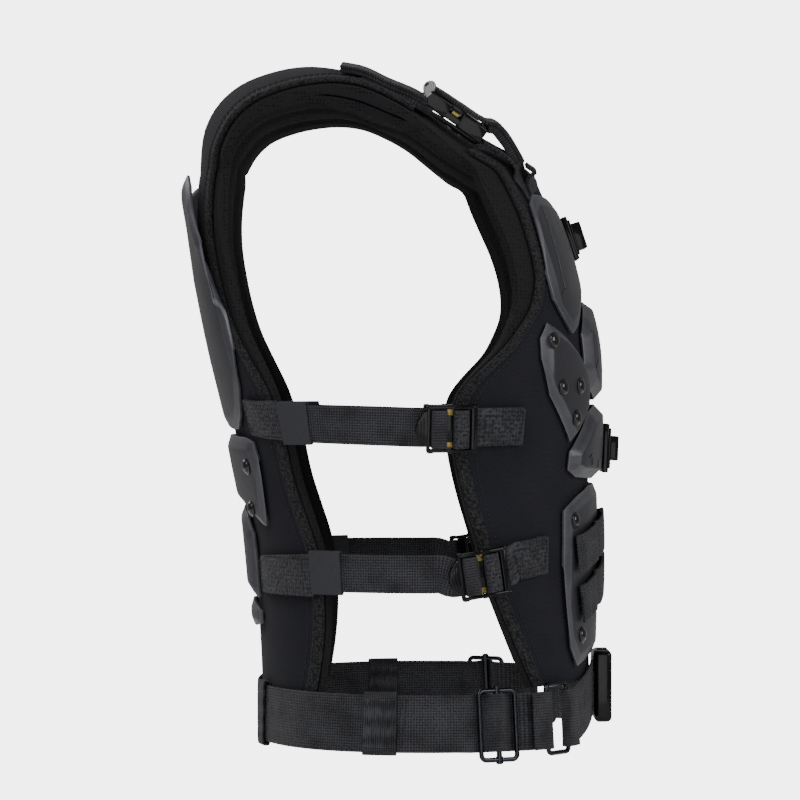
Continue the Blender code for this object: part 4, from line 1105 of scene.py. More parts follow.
def wear_and_highlight_at(girth, level, outer, inner):
    """How pale a spot of a plate is painted, for wear and a painted highlight: most on its rim, less on its
    bevel, not on its field.
    """
    side = (outer - girth) / PLATE_BEVEL
    if inner > 0:
        side = min(side, (girth - inner) / PLATE_BEVEL)
    edge = min(side, level / BEVEL_SHARE, (1 - level) / BEVEL_SHARE)
    return float(np.interp(edge, (0.0, 0.12, 0.5, 0.95, 1.05), (1.0, 0.34, 0.24, 0.34, 0.0)))


class VEST_OT_plates(bpy.types.Operator):
    """Adds the moulded armour plates of the chest, ribs, abdomen and back"""
    bl_idname = "vest.plates"
    bl_label = "Armour plates"

    def execute(self, context):
        for plate in PLATES:
            if plate == "rib_plate":
                dress_pair(plate_shell("rib_plate_shell_right", plate), finish(moulded_plate), "armour_plate",
                           "rib_plate_right")
            else:
                dress(plate_shell(plate + "_shell", plate), finish(moulded_plate), "armour_plate", plate)
        return {"FINISHED"}


class VEST_OT_rivets(bpy.types.Operator):
    """Adds the domed rivets of the plates"""
    bl_idname = "vest.rivets"
    bl_label = "Rivets"

    def execute(self, context):
        wide = sizes().rivet_width / 2
        high = sizes().rivet_height
        deselect()
        bpy.ops.mesh.primitive_uv_sphere_add(segments=24, ring_count=16, radius=1.0)
        dome = bpy.context.object
        dome.scale = (wide, wide, high)
        settle(dome)
        edit_all(dome, (bpy.ops.mesh.bisect, {"plane_co": (0, 0, 0.1 * high), "plane_no": (0, 0, 1),
                                              "clear_inner": True, "use_fill": True}))
        deselect()
        bpy.ops.mesh.primitive_cylinder_add(vertices=24, radius=wide * WASHER_SHARE, depth=0.0009,
                                            location=(0, 0, 0.0001))
        washer = bpy.context.object
        settle(washer)
        bevel_edges(washer, 0.0003)
        rivet = joined([dome, washer], "rivet")
        copies = []
        for plate, girth, z in RIVETS:
            point, normal = plate_spot(plate, girth, z, 0.0003)
            out = Vector(normal)
            along = Vector((0, 0, 1)).cross(out).normalized()
            copy = rivet.copy()
            copy.data = rivet.data.copy()
            context.scene.collection.objects.link(copy)
            copies.append(place_piece(copy, turned_to(point, along, out.cross(along), out)))
        bpy.data.objects.remove(rivet, do_unlink=True)
        made = joined(copies, "plate_rivets_right")
        smooth_finish(made, CLOTH_EDGE)
        dress_pair(made, finish(rivet_cap), "buckle_plastic")
        return {"FINISHED"}


# Steps round a sleeve, and its wall
SLEEVE_STEPS = 40
SLEEVE_WALL = 0.0011

# Side straps: where they leave the back, pass the side and reach the front
SIDE_STRAPS = (
    # name, back_girth, back_z, side_z, front_z, tab_z, keeper_from, keeper_to, buckle_girth, tab_end
    ("upper", 0.109, -0.218, -0.222, -0.2245, -0.2240, 0.150, 0.172, 0.2130, 0.157),
    ("lower", 0.067, -0.325, -0.321, -0.3215, -0.3100, 0.137, 0.160, 0.1800, 0.124),
)
# Webbing of the hems and doublings, and half the height of a stitched box
HEM_THICK = 0.0012
BOX_HALF = 0.0102
BUCKLE_WIDTH = 0.0310
BUCKLE_THICK = 0.0044
BUCKLE_BASE = 0.0056
TAB_RADIUS = 0.0125
# Places along a side buckle, measured forwards from its middle
BUCKLE_REAR, BUCKLE_FRONT = -0.0130, 0.0204
REAR_SLOT = (-0.0108, -0.0072)
MIDDLE_WINDOW = (-0.0006, 0.0058)
FRONT_SLOT = (0.0126, 0.0162)
TAB_CENTRE = -0.0079

# Waist belt, its wire rings and sliders as girths from the front centre and heights, and its buckle
BELT_Z = -0.420
BELT_LIFT = 0.0022
WIRE_RADIUS = 0.00165
RING_FRONT, RING_REAR = 0.1095, 0.1330
RING_TOP, RING_LOW = -0.3965, -0.4422
SLIDER_FRONT, SLIDER_REAR = 0.1575, 0.1835
SLIDER_TOP, SLIDER_LOW = -0.3989, -0.4442
RING_MIDDLE = 0.5 * (RING_FRONT + RING_REAR)
SLIDER_MIDDLE = 0.5 * (SLIDER_FRONT + SLIDER_REAR)
RING_LIFT = 0.0066
FOLD_BACK = 0.014
LOOP_CORNER = 0.0034
BAR_OVERHANG = 0.0030
BAR_RADIUS = 0.0018
FRONT_BUCKLE_Z = -0.405
FRONT_BELT_END = 0.024
FRONT_BELT_RISE = 0.0010

# Webbing that enters a buckle from one end: distance from the end slot's outer edge, height
BUCKLE_LAP = (
    (-0.0050, WEB_TOP),
    (-0.0010, WEB_TOP),
    (0.0006, WEB_TOP + 0.0003),
    (0.0009, BUCKLE_BASE + 0.7 * BUCKLE_THICK),
    (0.0018, BUCKLE_BASE + BUCKLE_THICK + 0.0015),
    (0.0040, BUCKLE_BASE + BUCKLE_THICK + 0.0022),
    (0.0088, BUCKLE_BASE + BUCKLE_THICK + 0.0022),
    (0.0108, BUCKLE_BASE + BUCKLE_THICK + 0.0012),
    (0.0114, BUCKLE_BASE + 0.2 * BUCKLE_THICK),
)


def lie(girth, z, lift, from_back=False):
    """Spot of a ribbon that follows the torso: its point, outward normal and way across."""
    here, out, _, rise = torso_frame(girth, z, from_back)
    return here + out * lift, out, rise


def flat_frame(girth, z, tilt=0.0):
    """Middle of flat hardware, and its axes towards the back, upwards and outwards."""
    here, out, level, rise = torso_frame(girth, z)
    along = level * math.cos(tilt) - rise * math.sin(tilt)
    along = unit(along - out * np.dot(along, out))
    across = np.cross(out, along)
    if across[2] < 0:
        across = -across
    return here, along, across, out


def pass_by(place, forward, lift):
    """Spot of a ribbon that passes through flat hardware, in the plane of the hardware."""
    here, along, across, out = place
    return here - along * forward + out * lift, out, across


def ribbon(name, spots, width, thickness=None, half=False, steps=3, bulge=None):
    """Webbing laid through spots of points, outward normals and ways across."""
    web = thickness or sizes().web_thick
    centres, facing, ways = (fair(np.array([spot[part] for spot in spots]), steps) for part in range(3))
    tangents = np.gradient(centres, axis=0)
    outs = np.cross(tangents, ways)
    outs /= np.linalg.norm(outs, axis=1)[:, None]
    if np.sum(outs * facing) < 0:
        outs = -outs
    ways = np.cross(outs, tangents)
    ways /= np.linalg.norm(ways, axis=1)[:, None]
    if half:
        ways[0] = (0.0, 0.0, math.copysign(1.0, ways[1][2]))
        outs[0] = (0.0, math.copysign(1.0, outs[0][1]), 0.0)
        centres[0][0] = 0.0
    length = float(np.linalg.norm(np.diff(centres, axis=0), axis=1).sum())
    swell = bulge if bulge is not None else np.zeros(len(centres))

    def place(across, k):
        dip = WEB_DIP * abs(across) ** 4
        return centres[k] + ways[k] * across * width / 2 + outs[k] * (swell[k] - dip), outs[k]

    made = laid_grid(name, (-1.0, -0.85, -0.4, 0.4, 0.85, 1.0), range(len(centres)), place, length, width)
    if half:
        mirror_half(made)
    thicken(made, web)
    bevel_edges(made, 0.0004, SOFT_EDGE)
    smooth_finish(made, WEB_EDGE)
    return made


def sleeve(name, girths, z, half_width, low, high):
    """Sleeve closed round a strap, a flat oval in section."""
    middle = 0.5 * (low + high)
    tall = 0.5 * (high - low)

    def place(step, girth):
        angle = 2 * math.pi * step / SLEEVE_STEPS
        cosine, sine = math.cos(angle), math.sin(angle)
        across = half_width * math.copysign(abs(cosine) ** 0.16, cosine)
        lift = middle + tall * math.copysign(abs(sine) ** 0.45, sine)
        here, out, _, upward = torso_frame(girth, z, True)
        return here + out * lift + upward * across, out * sine + upward * cosine

    round_it = 4 * half_width + 2 * (high - low)
    made = laid_grid(name, range(SLEEVE_STEPS + 1), girths, place, girths[-1] - girths[0], round_it)
    edit_all(made, (bpy.ops.mesh.remove_doubles, {"threshold": 0.00002}))
    thicken(made, SLEEVE_WALL)
    smooth_finish(made, CLOTH_EDGE)
    return made


def wire_loop(name, points, radius, closed=True):
    """Round wire along points, as a mesh."""
    deselect()
    curve = bpy.data.curves.new(name, "CURVE")
    curve.dimensions = "3D"
    curve.bevel_depth = radius
    curve.bevel_resolution = 4
    curve.use_fill_caps = True
    line = curve.splines.new("POLY")
    line.points.add(len(points) - 1)
    for spot, point in zip(line.points, points):
        spot.co = (float(point[0]), float(point[1]), float(point[2]), 1.0)
    line.use_cyclic_u = closed
    made = bpy.data.objects.new(name, curve)
    bpy.context.scene.collection.objects.link(made)
    choose(made)
    bpy.ops.object.convert(target="MESH")
    edit_all(made, (bpy.ops.mesh.remove_doubles, {"threshold": 0.00001}),
             (bpy.ops.mesh.normals_make_consistent, {"inside": False}))
    smooth_finish(made, CLOTH_EDGE)
    return made


def loop_points(place, front, rear, top, low):
    """Rounded rectangle of wire that stands off the belt."""
    here, along, across, out = place
    middle = 0.5 * (front + rear)
    corners = ((rear - LOOP_CORNER, top - LOOP_CORNER, 0), (front + LOOP_CORNER, top - LOOP_CORNER, 90),
               (front + LOOP_CORNER, low + LOOP_CORNER, 180), (rear - LOOP_CORNER, low + LOOP_CORNER, 270))
    points = []
    for girth, height, start in corners:
        for step in range(0, 91, 15):
            angle = math.radians(start + step)
            points.append(here + along * (girth + LOOP_CORNER * math.cos(angle) - middle)
                          + across * (height + LOOP_CORNER * math.sin(angle) - BELT_Z) + out * RING_LIFT)
    return points


# Radius of the thread, and distances between stitches on straps, on the bindings and in tacks
THREAD_RADIUS = 0.00032
STRAP_PITCH = 0.0036
SEAM_PITCH = 0.0040
TACK_PITCH = 0.0026


def thread_piece():
    """One stitch: a short, plump thread with tapered ends."""
    deselect()
    bpy.ops.mesh.primitive_cylinder_add(vertices=6, radius=THREAD_RADIUS, depth=sizes().stitch_length,
                                        rotation=(0.0, math.pi / 2, 0.0))
    made = bpy.context.object
    settle(made)
    bevel_edges(made, 0.00022, segments=1)
    return made


def sewn(name, stitches):
    """Copies of one stitch at places with directions and normals, as one mesh."""
    one = thread_piece()
    base = np.array([vertex.co[:] for vertex in one.data.vertices])
    faces = [tuple(face.vertices) for face in one.data.polygons]
    bpy.data.objects.remove(one, do_unlink=True)
    vertices, polygons = [], []
    for point, direction, out in stitches:
        along = unit(direction)
        side = unit(np.cross(out, along))
        up = np.cross(along, side)
        start = len(vertices) * len(base)
        vertices.append(base @ np.array((along, side, up)) + point)
        polygons += [tuple(index + start for index in face) for face in faces]
    mesh = bpy.data.meshes.new(name)
    mesh.from_pydata(np.concatenate(vertices).tolist(), [], polygons)
    made = bpy.data.objects.new(name, mesh)
    bpy.context.scene.collection.objects.link(made)
    smooth_finish(made, SOFT_EDGE)
    return made


def seam(spots, pitch):
    """Stitches spaced evenly along a line of points with their normals."""
    points = np.array([spot[0] for spot in spots])
    outs = np.array([spot[1] for spot in spots])
    lengths = run_lengths(points)
    count = max(int(lengths[-1] / pitch), 2)
    made = []
    for at in (np.arange(count) + 0.5) * lengths[-1] / count:
        ahead = between(points, lengths, at + pitch / 2)
        behind = between(points, lengths, at - pitch / 2)
        made.append((between(points, lengths, at), ahead - behind, unit(between(outs, lengths, at))))
    return made


def box_seam(first, last, z_first, z_last, lift, half_height, from_back=False):
    """Stitched box with a cross, over a strap's sewn end."""
    def at(part, height):
        girth = first + (last - first) * part
        z = z_first + (z_last - z_first) * part + height
        return on_torso(girth, z, lift, from_back)

    # Each line's ends, as parts of the box's length and half height
    lines = (((0, -1), (1, -1)), ((1, -1), (1, 1)), ((1, 1), (0, 1)), ((0, 1), (0, -1)), ((0, -1), (1, 1)),
             ((0, 1), (1, -1)))
    made = []
    for (u0, v0), (u1, v1) in lines:
        made += seam([at(u0 + (u1 - u0) * t, (v0 + (v1 - v0) * t) * half_height)
                      for t in even(0.02, 0.98, 7)], STRAP_PITCH)
    return made


# Small angled slots of the lower chest plate, as dark pieces on its face that paint the shade in their
# hollows, on the right
PLATE_SLOTS = (
    # girth, z, length, turn
    (0.0800, -0.2440, 0.0062, 0.35), (0.0765, -0.2478, 0.0052, 1.85), (0.0560, -0.2500, 0.0060, 1.45),
)

# Fine raised lines moulded on the plates, on the right
PLATE_BEADS = (
    # plate, (girth, z) along the line
    ("chest_plate", ((0.0985, -0.0780), (0.1030, -0.1000), (0.1065, -0.1250), (0.1065, -0.1335),
                     (0.1130, -0.1370))),
    ("sternum_plate", ((0.0700, -0.1610), (0.0640, -0.1640), (0.0640, -0.1800), (0.0700, -0.1850))),
)


class VEST_OT_plate_beads(bpy.types.Operator):
    """Adds the fine raised lines of the plates"""
    bl_idname = "vest.plate_beads"
    bl_label = "Plate lines"

    def execute(self, context):
        for plate, corners in PLATE_BEADS:
            points = []
            for first, last in zip(corners, corners[1:]):
                for part in np.linspace(0.0, 1.0, 9)[:-1]:
                    girth, z = (first[k] + (last[k] - first[k]) * part for k in range(2))
                    points.append(plate_spot(plate, girth, z, -0.0001)[0])
            points.append(plate_spot(plate, *corners[-1], -0.0001)[0])
            made = wire_loop(plate + "_bead_right", points, 0.0006, closed=False)
            dress_pair(made, finish(moulded_plate), "armour_plate")
        return {"FINISHED"}


class VEST_OT_plate_slots(bpy.types.Operator):
    """Adds dark pieces on the lower chest plate, painted shade where its small slots are"""
    bl_idname = "vest.plate_slots"
    bl_label = "Plate slots"

    def execute(self, context):
        slots = []
        for girth, z, length, turn in PLATE_SLOTS:
            point, normal = plate_spot("lower_chest_plate", girth, z, 0.0001)
            out = Vector(normal)
            level = Vector((0, 0, 1)).cross(out).normalized()
            along = (level * math.cos(turn) + out.cross(level) * math.sin(turn)).normalized()
            # A dark piece standing in for the shade inside a slot
            slot = box_piece("slot", (length, 0.0011, 0.0010), 0.0003, 2)
            slots.append(place_piece(slot, turned_to(point, along, out.cross(along), out)))
        made = joined(slots, "plate_slots_right")
        smooth_finish(made, CLOTH_EDGE)
        dress_pair(made, finish(rivet_cap), "buckle_plastic")
        return {"FINISHED"}


class VEST_OT_load_bands(bpy.types.Operator):
    """Adds the two rows of webbing loops across the abdomen plate"""
    bl_idname = "vest.load_bands"
    bl_label = "Load bands"

    def execute(self, context):
        stitches = []
        lift = PLATE_RIM + 0.0026 + sizes().web_thick + 0.0008
        parts = np.linspace(0.0, 1.0, BAND_STEPS + 1)
        for name, half_girth, centre_z, side_z in LOAD_BANDS:
            def height_at(part):
                return centre_z + (side_z - centre_z) * part ** 1.5

            spots = [lie(half_girth * part, height_at(part), lift) for part in parts]
            fine = np.arange(BAND_STEPS * 3 + 1) / 3
            girths = np.interp(fine, range(BAND_STEPS + 1), half_girth * parts)
            tacks = np.array((-0.019, 0.019, 0.057, half_girth - 0.003))
            nearest = np.abs(girths[:, None] - tacks[None, :]).min(axis=1)
            bulge = BAND_BULGE * np.clip(nearest / 0.006, 0.0, 1.0) ** 0.6
            made = ribbon(name + "_webbing", spots, sizes().strap_width, half=True, bulge=bulge)
            dress(made, finish(woven_webbing), "webbing", name)
            for tack in tacks[1:]:
                z = height_at(tack / half_girth)
                for shift in (-0.0009, 0.0, 0.0009):
                    stitches += seam([on_torso(tack + shift, z + height, lift + 0.0002)
                                      for height in even(-0.0115, 0.0115, 7)], TACK_PITCH)
        made = sewn("load_band_tacks_right", stitches)
        dress_pair(made, finish(bonded_thread), "webbing")
        return {"FINISHED"}


# Clips at the centre front, and the thickness of their base plates
CLIPS = (
    # name, z, base_height, block_height, block_depth, plate_lift
    ("chest_clip_upper", -0.097, 0.031, 0.019, 0.0080, 0.0016),
    ("chest_clip_lower", -0.240, 0.034, 0.017, 0.0070, 0.0056),
)
CLIP_BASE = 0.0040


class VEST_OT_chest_clips(bpy.types.Operator):
    """Adds the two moulded clips at the centre front"""
    bl_idname = "vest.chest_clips"
    bl_label = "Chest clips"

    def execute(self, context):
        for name, z, base_height, block_height, block_depth, plate_lift in CLIPS:
            here, out, _, rise = torso_frame(0.0, z)
            foot = PLATE_RIM + plate_lift + 0.0006
            base = box_piece("base", (0.0400, base_height, CLIP_BASE), 0.0009, 3, (0, 0, CLIP_BASE / 2))
            block = box_piece("block", (0.0300, block_height, block_depth), 0.0007, 2,
                              (0, 0, CLIP_BASE + block_depth / 2))
            for offset in (-0.0092, 0.0092):
                cut_away(block, box_piece("notch", (0.0022, block_height + 0.01, 0.0030), 0.0, 1,
                                          (offset, 0, CLIP_BASE + block_depth - 0.0010)))
            rails = [box_piece("rail", (0.0036, base_height - 0.006, 0.0016), 0.0005, 2,
                               (side * 0.0172, 0, CLIP_BASE + 0.0006)) for side in (-1, 1)]
            made = joined([base, block] + rails, name + "_moulding")
            place_piece(made, turned_to(here + out * foot, (1.0, 0.0, 0.0), rise, out))
            smooth_finish(made, HARD_EDGE)
            dress(made, finish(moulded_buckle), "buckle_plastic", name)
        return {"FINISHED"}


def strap_height(row, girth_back, whole):
    """Height of a side strap at a girth from the back."""
    _, back_girth, back_z, side_z, front_z = row[:5]
    t = min(max((girth_back - back_girth) / (whole - back_girth), 0.0), 1.0)
    if t < 0.5:
        return back_z + (side_z - back_z) * t * 2
    return side_z + (front_z - side_z) * (t - 0.5) * 2


def sewn_lift(distance):
    """Height of a strap that is sewn down at its end and rises from there."""
    return WEB_SEWN + (WEB_TOP - WEB_SEWN) * min(distance / SEWN_LENGTH, 1.0)


def side_buckle(name):
    """Ladder buckle about its own middle: x towards the back, y up, z outwards."""
    length = BUCKLE_FRONT - BUCKLE_REAR
    middle = -0.5 * (BUCKLE_REAR + BUCKLE_FRONT)
    body = box_piece(name, (length, BUCKLE_WIDTH, BUCKLE_THICK), 0.0, 1, (middle, 0, 0))
    for rear, front in (REAR_SLOT, MIDDLE_WINDOW, FRONT_SLOT):
        cut_away(body, box_piece("slot", (front - rear, 0.0268, 0.02), 0.0, 1, (-0.5 * (rear + front), 0, 0)))
    bevel_edges(body, 0.0007, HARD_EDGE, 3)
    deselect()
    bpy.ops.mesh.primitive_cylinder_add(vertices=48, radius=TAB_RADIUS, depth=0.0030,
                                        location=(-TAB_CENTRE, 0, 0.0004))
    tab = bpy.context.object
    settle(tab)
    edit_all(tab, (bpy.ops.mesh.bisect, {"plane_co": (-BUCKLE_REAR - 0.0014, 0, 0), "plane_no": (-1, 0, 0),
                                         "clear_outer": True, "use_fill": True}))
    bevel_edges(tab, 0.0008, segments=3)
    ridges = [box_piece("ridge", (0.0010, 0.0150 - 0.004 * k, 0.0010), 0.0003, 2,
                        (0.0150 + 0.0019 * k, 0, 0.0020)) for k in range(3)]
    rails = [box_piece("rail", (length - 0.003, 0.0020, 0.0018), 0.0006, 2,
                       (middle, side * (BUCKLE_WIDTH / 2 - 0.0011), BUCKLE_THICK / 2)) for side in (-1, 1)]
    posts = [box_piece("post", (0.0040, 0.0022, 0.0052), 0.0006, 2,
                       (at, side * (BUCKLE_WIDTH / 2 - 0.0006), 0.0002))
             for side in (-1, 1) for at in (-0.0188, -0.0026, 0.0106)]
    # A black bar in the middle window, as painted shade over the middle of the brass latch bar
    bar = box_piece("bar", (0.0050, 0.0178, 0.0012), 0.0004, 2, (-0.0027, 0, -0.0006))
    return joined([body, tab, bar] + ridges + rails + posts, name)


def buckle_tilt(row):
    """Lean of a side buckle, between its strap and the sewn tab."""
    return math.atan2(row[5] - row[4], row[8] - row[9]) * 0.8


class VEST_OT_side_straps(bpy.types.Operator):
    """Adds the side straps with their elastic keepers, sewn tabs and stitches"""
    bl_idname = "vest.side_straps"
    bl_label = "Side straps"

    def execute(self, context):
        width = sizes().strap_width
        stitches = []
        for row in SIDE_STRAPS:
            (name, back_girth, back_z, side_z, front_z, tab_z, keeper_from, keeper_to, buckle_girth,
             tab_end) = row
            place = flat_frame(buckle_girth, front_z, buckle_tilt(row))
            strap_end = section(side_z)[2][-1] - buckle_girth + REAR_SLOT[0] - 0.012
            strap = [lie(girth, strap_height(row, girth, strap_end), sewn_lift(girth - back_girth), True)
                     for girth in np.linspace(back_girth, strap_end, 19)]
            strap += [pass_by(place, REAR_SLOT[0] + inward, lift) for inward, lift in BUCKLE_LAP]
            start_z = tab_z - 0.3 * (tab_z - front_z)
            front_end = buckle_girth - FRONT_SLOT[1] - 0.012
            tab = []
            for part in np.linspace(0.0, 1.0, 7):
                girth = tab_end + (front_end - tab_end) * part
                tab.append(lie(girth, tab_z + (start_z - tab_z) * part, sewn_lift(girth - tab_end)))
            tab += [pass_by(place, FRONT_SLOT[1] - inward, lift) for inward, lift in BUCKLE_LAP]
            tag = name + "_right"
            dress_pair(ribbon("side_strap_%s_webbing" % tag, strap, width), finish(woven_webbing), "webbing",
                       "side_strap_" + tag)
            dress_pair(ribbon("side_tab_%s_webbing" % tag, tab, width), finish(stippled_webbing), "webbing",
                       "side_tab_" + tag)
            keeper_z = strap_height(row, 0.5 * (keeper_from + keeper_to), strap_end)
            keeper = sleeve("side_keeper_%s_elastic" % tag, even(keeper_from, keeper_to, 9), keeper_z,
                            width / 2 + 0.0020, WEB_TOP - 0.0030, WEB_TOP + 0.0017)
            dress_pair(keeper, finish(elastic_loop), "webbing", "side_keeper_" + tag)
            # The hem turned back over the tab's end, the strap's doubled end, and their stitched boxes
            hem = [lie(tab_end + 0.0003 + 0.0105 * part, tab_z, sewn_lift(0.0) + 0.0013 - 0.0008 * part)
                   for part in even(0.0, 1.0, 5)]
            dress_pair(ribbon("side_tab_hem_" + tag, hem, width - 0.0006, thickness=HEM_THICK),
                       finish(stippled_webbing), "webbing")
            doubled = [lie(girth, back_z, sewn_lift(girth - back_girth) + 0.0013, True)
                       for girth in np.linspace(back_girth + 0.001, keeper_from + 0.001, 9)]
            dress_pair(ribbon("side_strap_doubling_" + tag, doubled, width - 0.0008, thickness=HEM_THICK),
                       finish(stippled_webbing), "webbing")
            stitches += box_seam(tab_end + 0.003, tab_end + 0.024, tab_z, tab_z - 0.0008,
                                 WEB_SEWN + 0.0018, BOX_HALF)
            stitches += box_seam(back_girth + 0.003, back_girth + 0.021, back_z, back_z,
                                 WEB_SEWN + 0.0020, BOX_HALF, True)
        dress_pair(sewn("side_strap_stitches_right", stitches), finish(bonded_thread), "webbing")
        return {"FINISHED"}


class VEST_OT_side_buckles(bpy.types.Operator):
    """Adds the ladder buckles of the side straps, with brass only at the lit ends of the latch bar and black
    between as painted shade
    """
    bl_idname = "vest.side_buckles"
    bl_label = "Side buckles"

    def execute(self, context):
        for row in SIDE_STRAPS:
            name = row[0]
            here, along, across, out = flat_frame(row[8], row[4], buckle_tilt(row))
            matrix = turned_to(here + out * (BUCKLE_BASE + BUCKLE_THICK / 2), along, across, out)
            made = place_piece(side_buckle("side_buckle_%s_moulding_right" % name), matrix)
            smooth_finish(made, HARD_EDGE)
            dress_pair(made, finish(moulded_buckle), "buckle_plastic", "side_buckle_%s_right" % name)
            # Brass only at the lit ends of the latch bar; between them the bar is left black as painted shade
            ends = [box_piece("latch", (0.0050, 0.0044, 0.0010), 0.0003, 2, (-0.0027, side * 0.0110, -0.0006))
                    for side in (-1, 1)]
            plate = place_piece(joined(ends, "side_latch_%s_right" % name), matrix)
            smooth_finish(plate, HARD_EDGE)
            dress_pair(plate, finish(brass_plate), "wire_steel")
        return {"FINISHED"}


def post_wrap(place, post, flow):
    """Webbing that passes under a ring's post, round it and back over itself."""
    reach = WIRE_RADIUS + 0.0006
    under = BELT_LIFT + sizes().web_thick
    profile = [(-0.0080, under), (-0.0030, under + 0.0002)]
    for degrees in (-70, -35, 0, 35, 70, 100):
        angle = math.radians(degrees)
        profile.append((reach * math.cos(angle), RING_LIFT + reach * math.sin(angle)))
    profile.append((-0.0060, RING_LIFT + reach - 0.0014))
    profile.append((-FOLD_BACK, under + 0.0010))
    return [pass_by(place, post + flow * forward, lift) for forward, lift in profile]


class VEST_OT_belt(bpy.types.Operator):
    """Adds the waist belt, its sleeves and the front belt ends"""
    bl_idname = "vest.belt"
    bl_label = "Waist belt"

    def execute(self, context):
        width = sizes().belt_width
        web = sizes().web_thick
        flat = BELT_LIFT + web
        over = RING_LIFT + BAR_RADIUS + web + 0.0006
        # Over the slider's bar: distance from it, height
        profile = ((-0.0180, flat), (-0.0105, flat + 0.0002), (-0.0075, flat + 0.0012), (-0.0032, over),
                   (0.0, over + 0.0006), (0.0032, over), (0.0075, flat + 0.0012), (0.0105, flat + 0.0002))
        slider = flat_frame(SLIDER_MIDDLE, BELT_Z)
        ring = flat_frame(RING_MIDDLE, BELT_Z)
        last = section(BELT_Z)[2][-1] - SLIDER_MIDDLE - 0.026
        spots = [lie(girth, BELT_Z, flat, True) for girth in np.linspace(0.0, last, 22)]
        spots += [pass_by(slider, forward, lift) for forward, lift in profile]
        spots += post_wrap(ring, RING_MIDDLE - RING_REAR, 1.0)
        dress(ribbon("waist_belt_webbing", spots, width, half=True), finish(woven_webbing), "webbing",
              "waist_belt")
        front = list(reversed(post_wrap(ring, RING_MIDDLE - RING_FRONT, -1.0)))
        start = RING_FRONT - 0.016
        for part in np.linspace(0.15, 1.0, 8):
            girth = start + (FRONT_BELT_END - start) * part
            z = BELT_Z + (FRONT_BUCKLE_Z - BELT_Z) * part
            front.append(lie(girth, z, flat + FRONT_BELT_RISE * part ** 2))
        dress_pair(ribbon("front_belt_webbing_right", front, width), finish(woven_webbing), "webbing",
                   "front_belt_right")
        low = BELT_LIFT - 0.0016
        high = flat + 0.0026
        keeper = sleeve("belt_keeper_webbing_right", even(0.177, 0.198, 9), BELT_Z, width / 2 + 0.0018,
                        low, high)
        dress_pair(keeper, finish(woven_webbing), "webbing", "belt_keeper_right")
        loop = sleeve("belt_loop_webbing_right", even(0.055, 0.072, 7), BELT_Z, width / 2 + 0.0030, low, high)
        dress_pair(loop, finish(woven_webbing), "webbing", "belt_loop_right")
        stitches = []
        # Two rows beside the keeper and one beside the loop, girths from the back
        for girth in (0.200, 0.203, 0.052):
            stitches += seam([on_torso(girth, BELT_Z + height, flat + 0.0002, True)
                              for height in even(-0.0165, 0.0165, 9)], STRAP_PITCH)
        dress_pair(sewn("belt_stitches_right", stitches), finish(bonded_thread), "webbing")
        return {"FINISHED"}


class VEST_OT_belt_hardware(bpy.types.Operator):
    """Adds the rings and sliders of bent wire on the belt"""
    bl_idname = "vest.belt_hardware"
    bl_label = "Belt hardware"

    def execute(self, context):
        round_ring = loop_points(flat_frame(RING_MIDDLE, BELT_Z), RING_FRONT, RING_REAR, RING_TOP, RING_LOW)
        ring = wire_loop("belt_ring_wire_right", round_ring, WIRE_RADIUS)
        dress_pair(ring, finish(plated_wire), "wire_steel", "belt_ring_right")
        place = flat_frame(SLIDER_MIDDLE, BELT_Z)
        loop = wire_loop("slider", loop_points(place, SLIDER_FRONT, SLIDER_REAR, SLIDER_TOP, SLIDER_LOW),
                         WIRE_RADIUS)
        here, _, across, out = place
        ends = [here + across * (z - BELT_Z) + out * RING_LIFT
                for z in (SLIDER_TOP + BAR_OVERHANG, SLIDER_LOW - BAR_OVERHANG)]
        parts = [loop, wire_loop("bar", ends, BAR_RADIUS, closed=False)]
        for z in (SLIDER_TOP, SLIDER_LOW):
            collar = [here + across * (z - BELT_Z + shift) + out * RING_LIFT for shift in (-0.0024, 0.0024)]
            parts.append(wire_loop("collar", collar, 0.0024, closed=False))
        dress_pair(joined(parts, "belt_slider_wire_right"), finish(plated_wire), "wire_steel",
                   "belt_slider_right")
        return {"FINISHED"}


class VEST_OT_belt_buckle(bpy.types.Operator):
    """Adds the side-release buckle at the centre front"""
    bl_idname = "vest.belt_buckle"
    bl_label = "Belt buckle"

    def execute(self, context):
        front = torso_spot(0.0, FRONT_BUCKLE_Z, False)[1]
        halves = (
            # name, centre_x, width, height, depth
            ("belt_buckle_socket", -0.0165, 0.0325, 0.0490, 0.0120),
            ("belt_buckle_plug", 0.01555, 0.0310, 0.0450, 0.0110),
        )
        for name, centre_x, width, height, depth in halves:
            side = 1 if name.endswith("plug") else -1
            body = box_piece("body", (width, height, depth), 0.0030, 4)
            cut_away(body, box_piece("recess", (width * 0.5, height * 0.62, 0.0030), 0.0, 1,
                                     (0, 0, depth / 2)))
            cut_away(body, box_piece("slot", (0.0030, 0.0400, 0.03), 0.0, 1,
                                     (side * (width / 2 - 0.0055), 0, 0)))
            bevel_edges(body, 0.0004, CLOTH_EDGE)
            parts = [body]
            for across in (-1, 1):
                parts.append(box_piece("grip", (0.0120, 0.0018, 0.0070), 0.0006, 2,
                                       (-side * 0.002, across * (height / 2 + 0.0002), 0)))
            for step in (-1, 0, 1):
                parts.append(box_piece("rib", (0.0010, height * 0.5, 0.0016), 0.0004, 2,
                                       (step * 0.0040, 0, depth / 2 - 0.0012)))
            made = joined(parts, name + "_moulding")
            centre = (centre_x, front - 0.0105, FRONT_BUCKLE_Z)
            place_piece(made, turned_to(centre, (1, 0, 0), (0, 0, 1), (0, -1, 0)))
            smooth_finish(made, HARD_EDGE)
            dress(made, finish(moulded_buckle), "buckle_plastic", name)
        return {"FINISHED"}


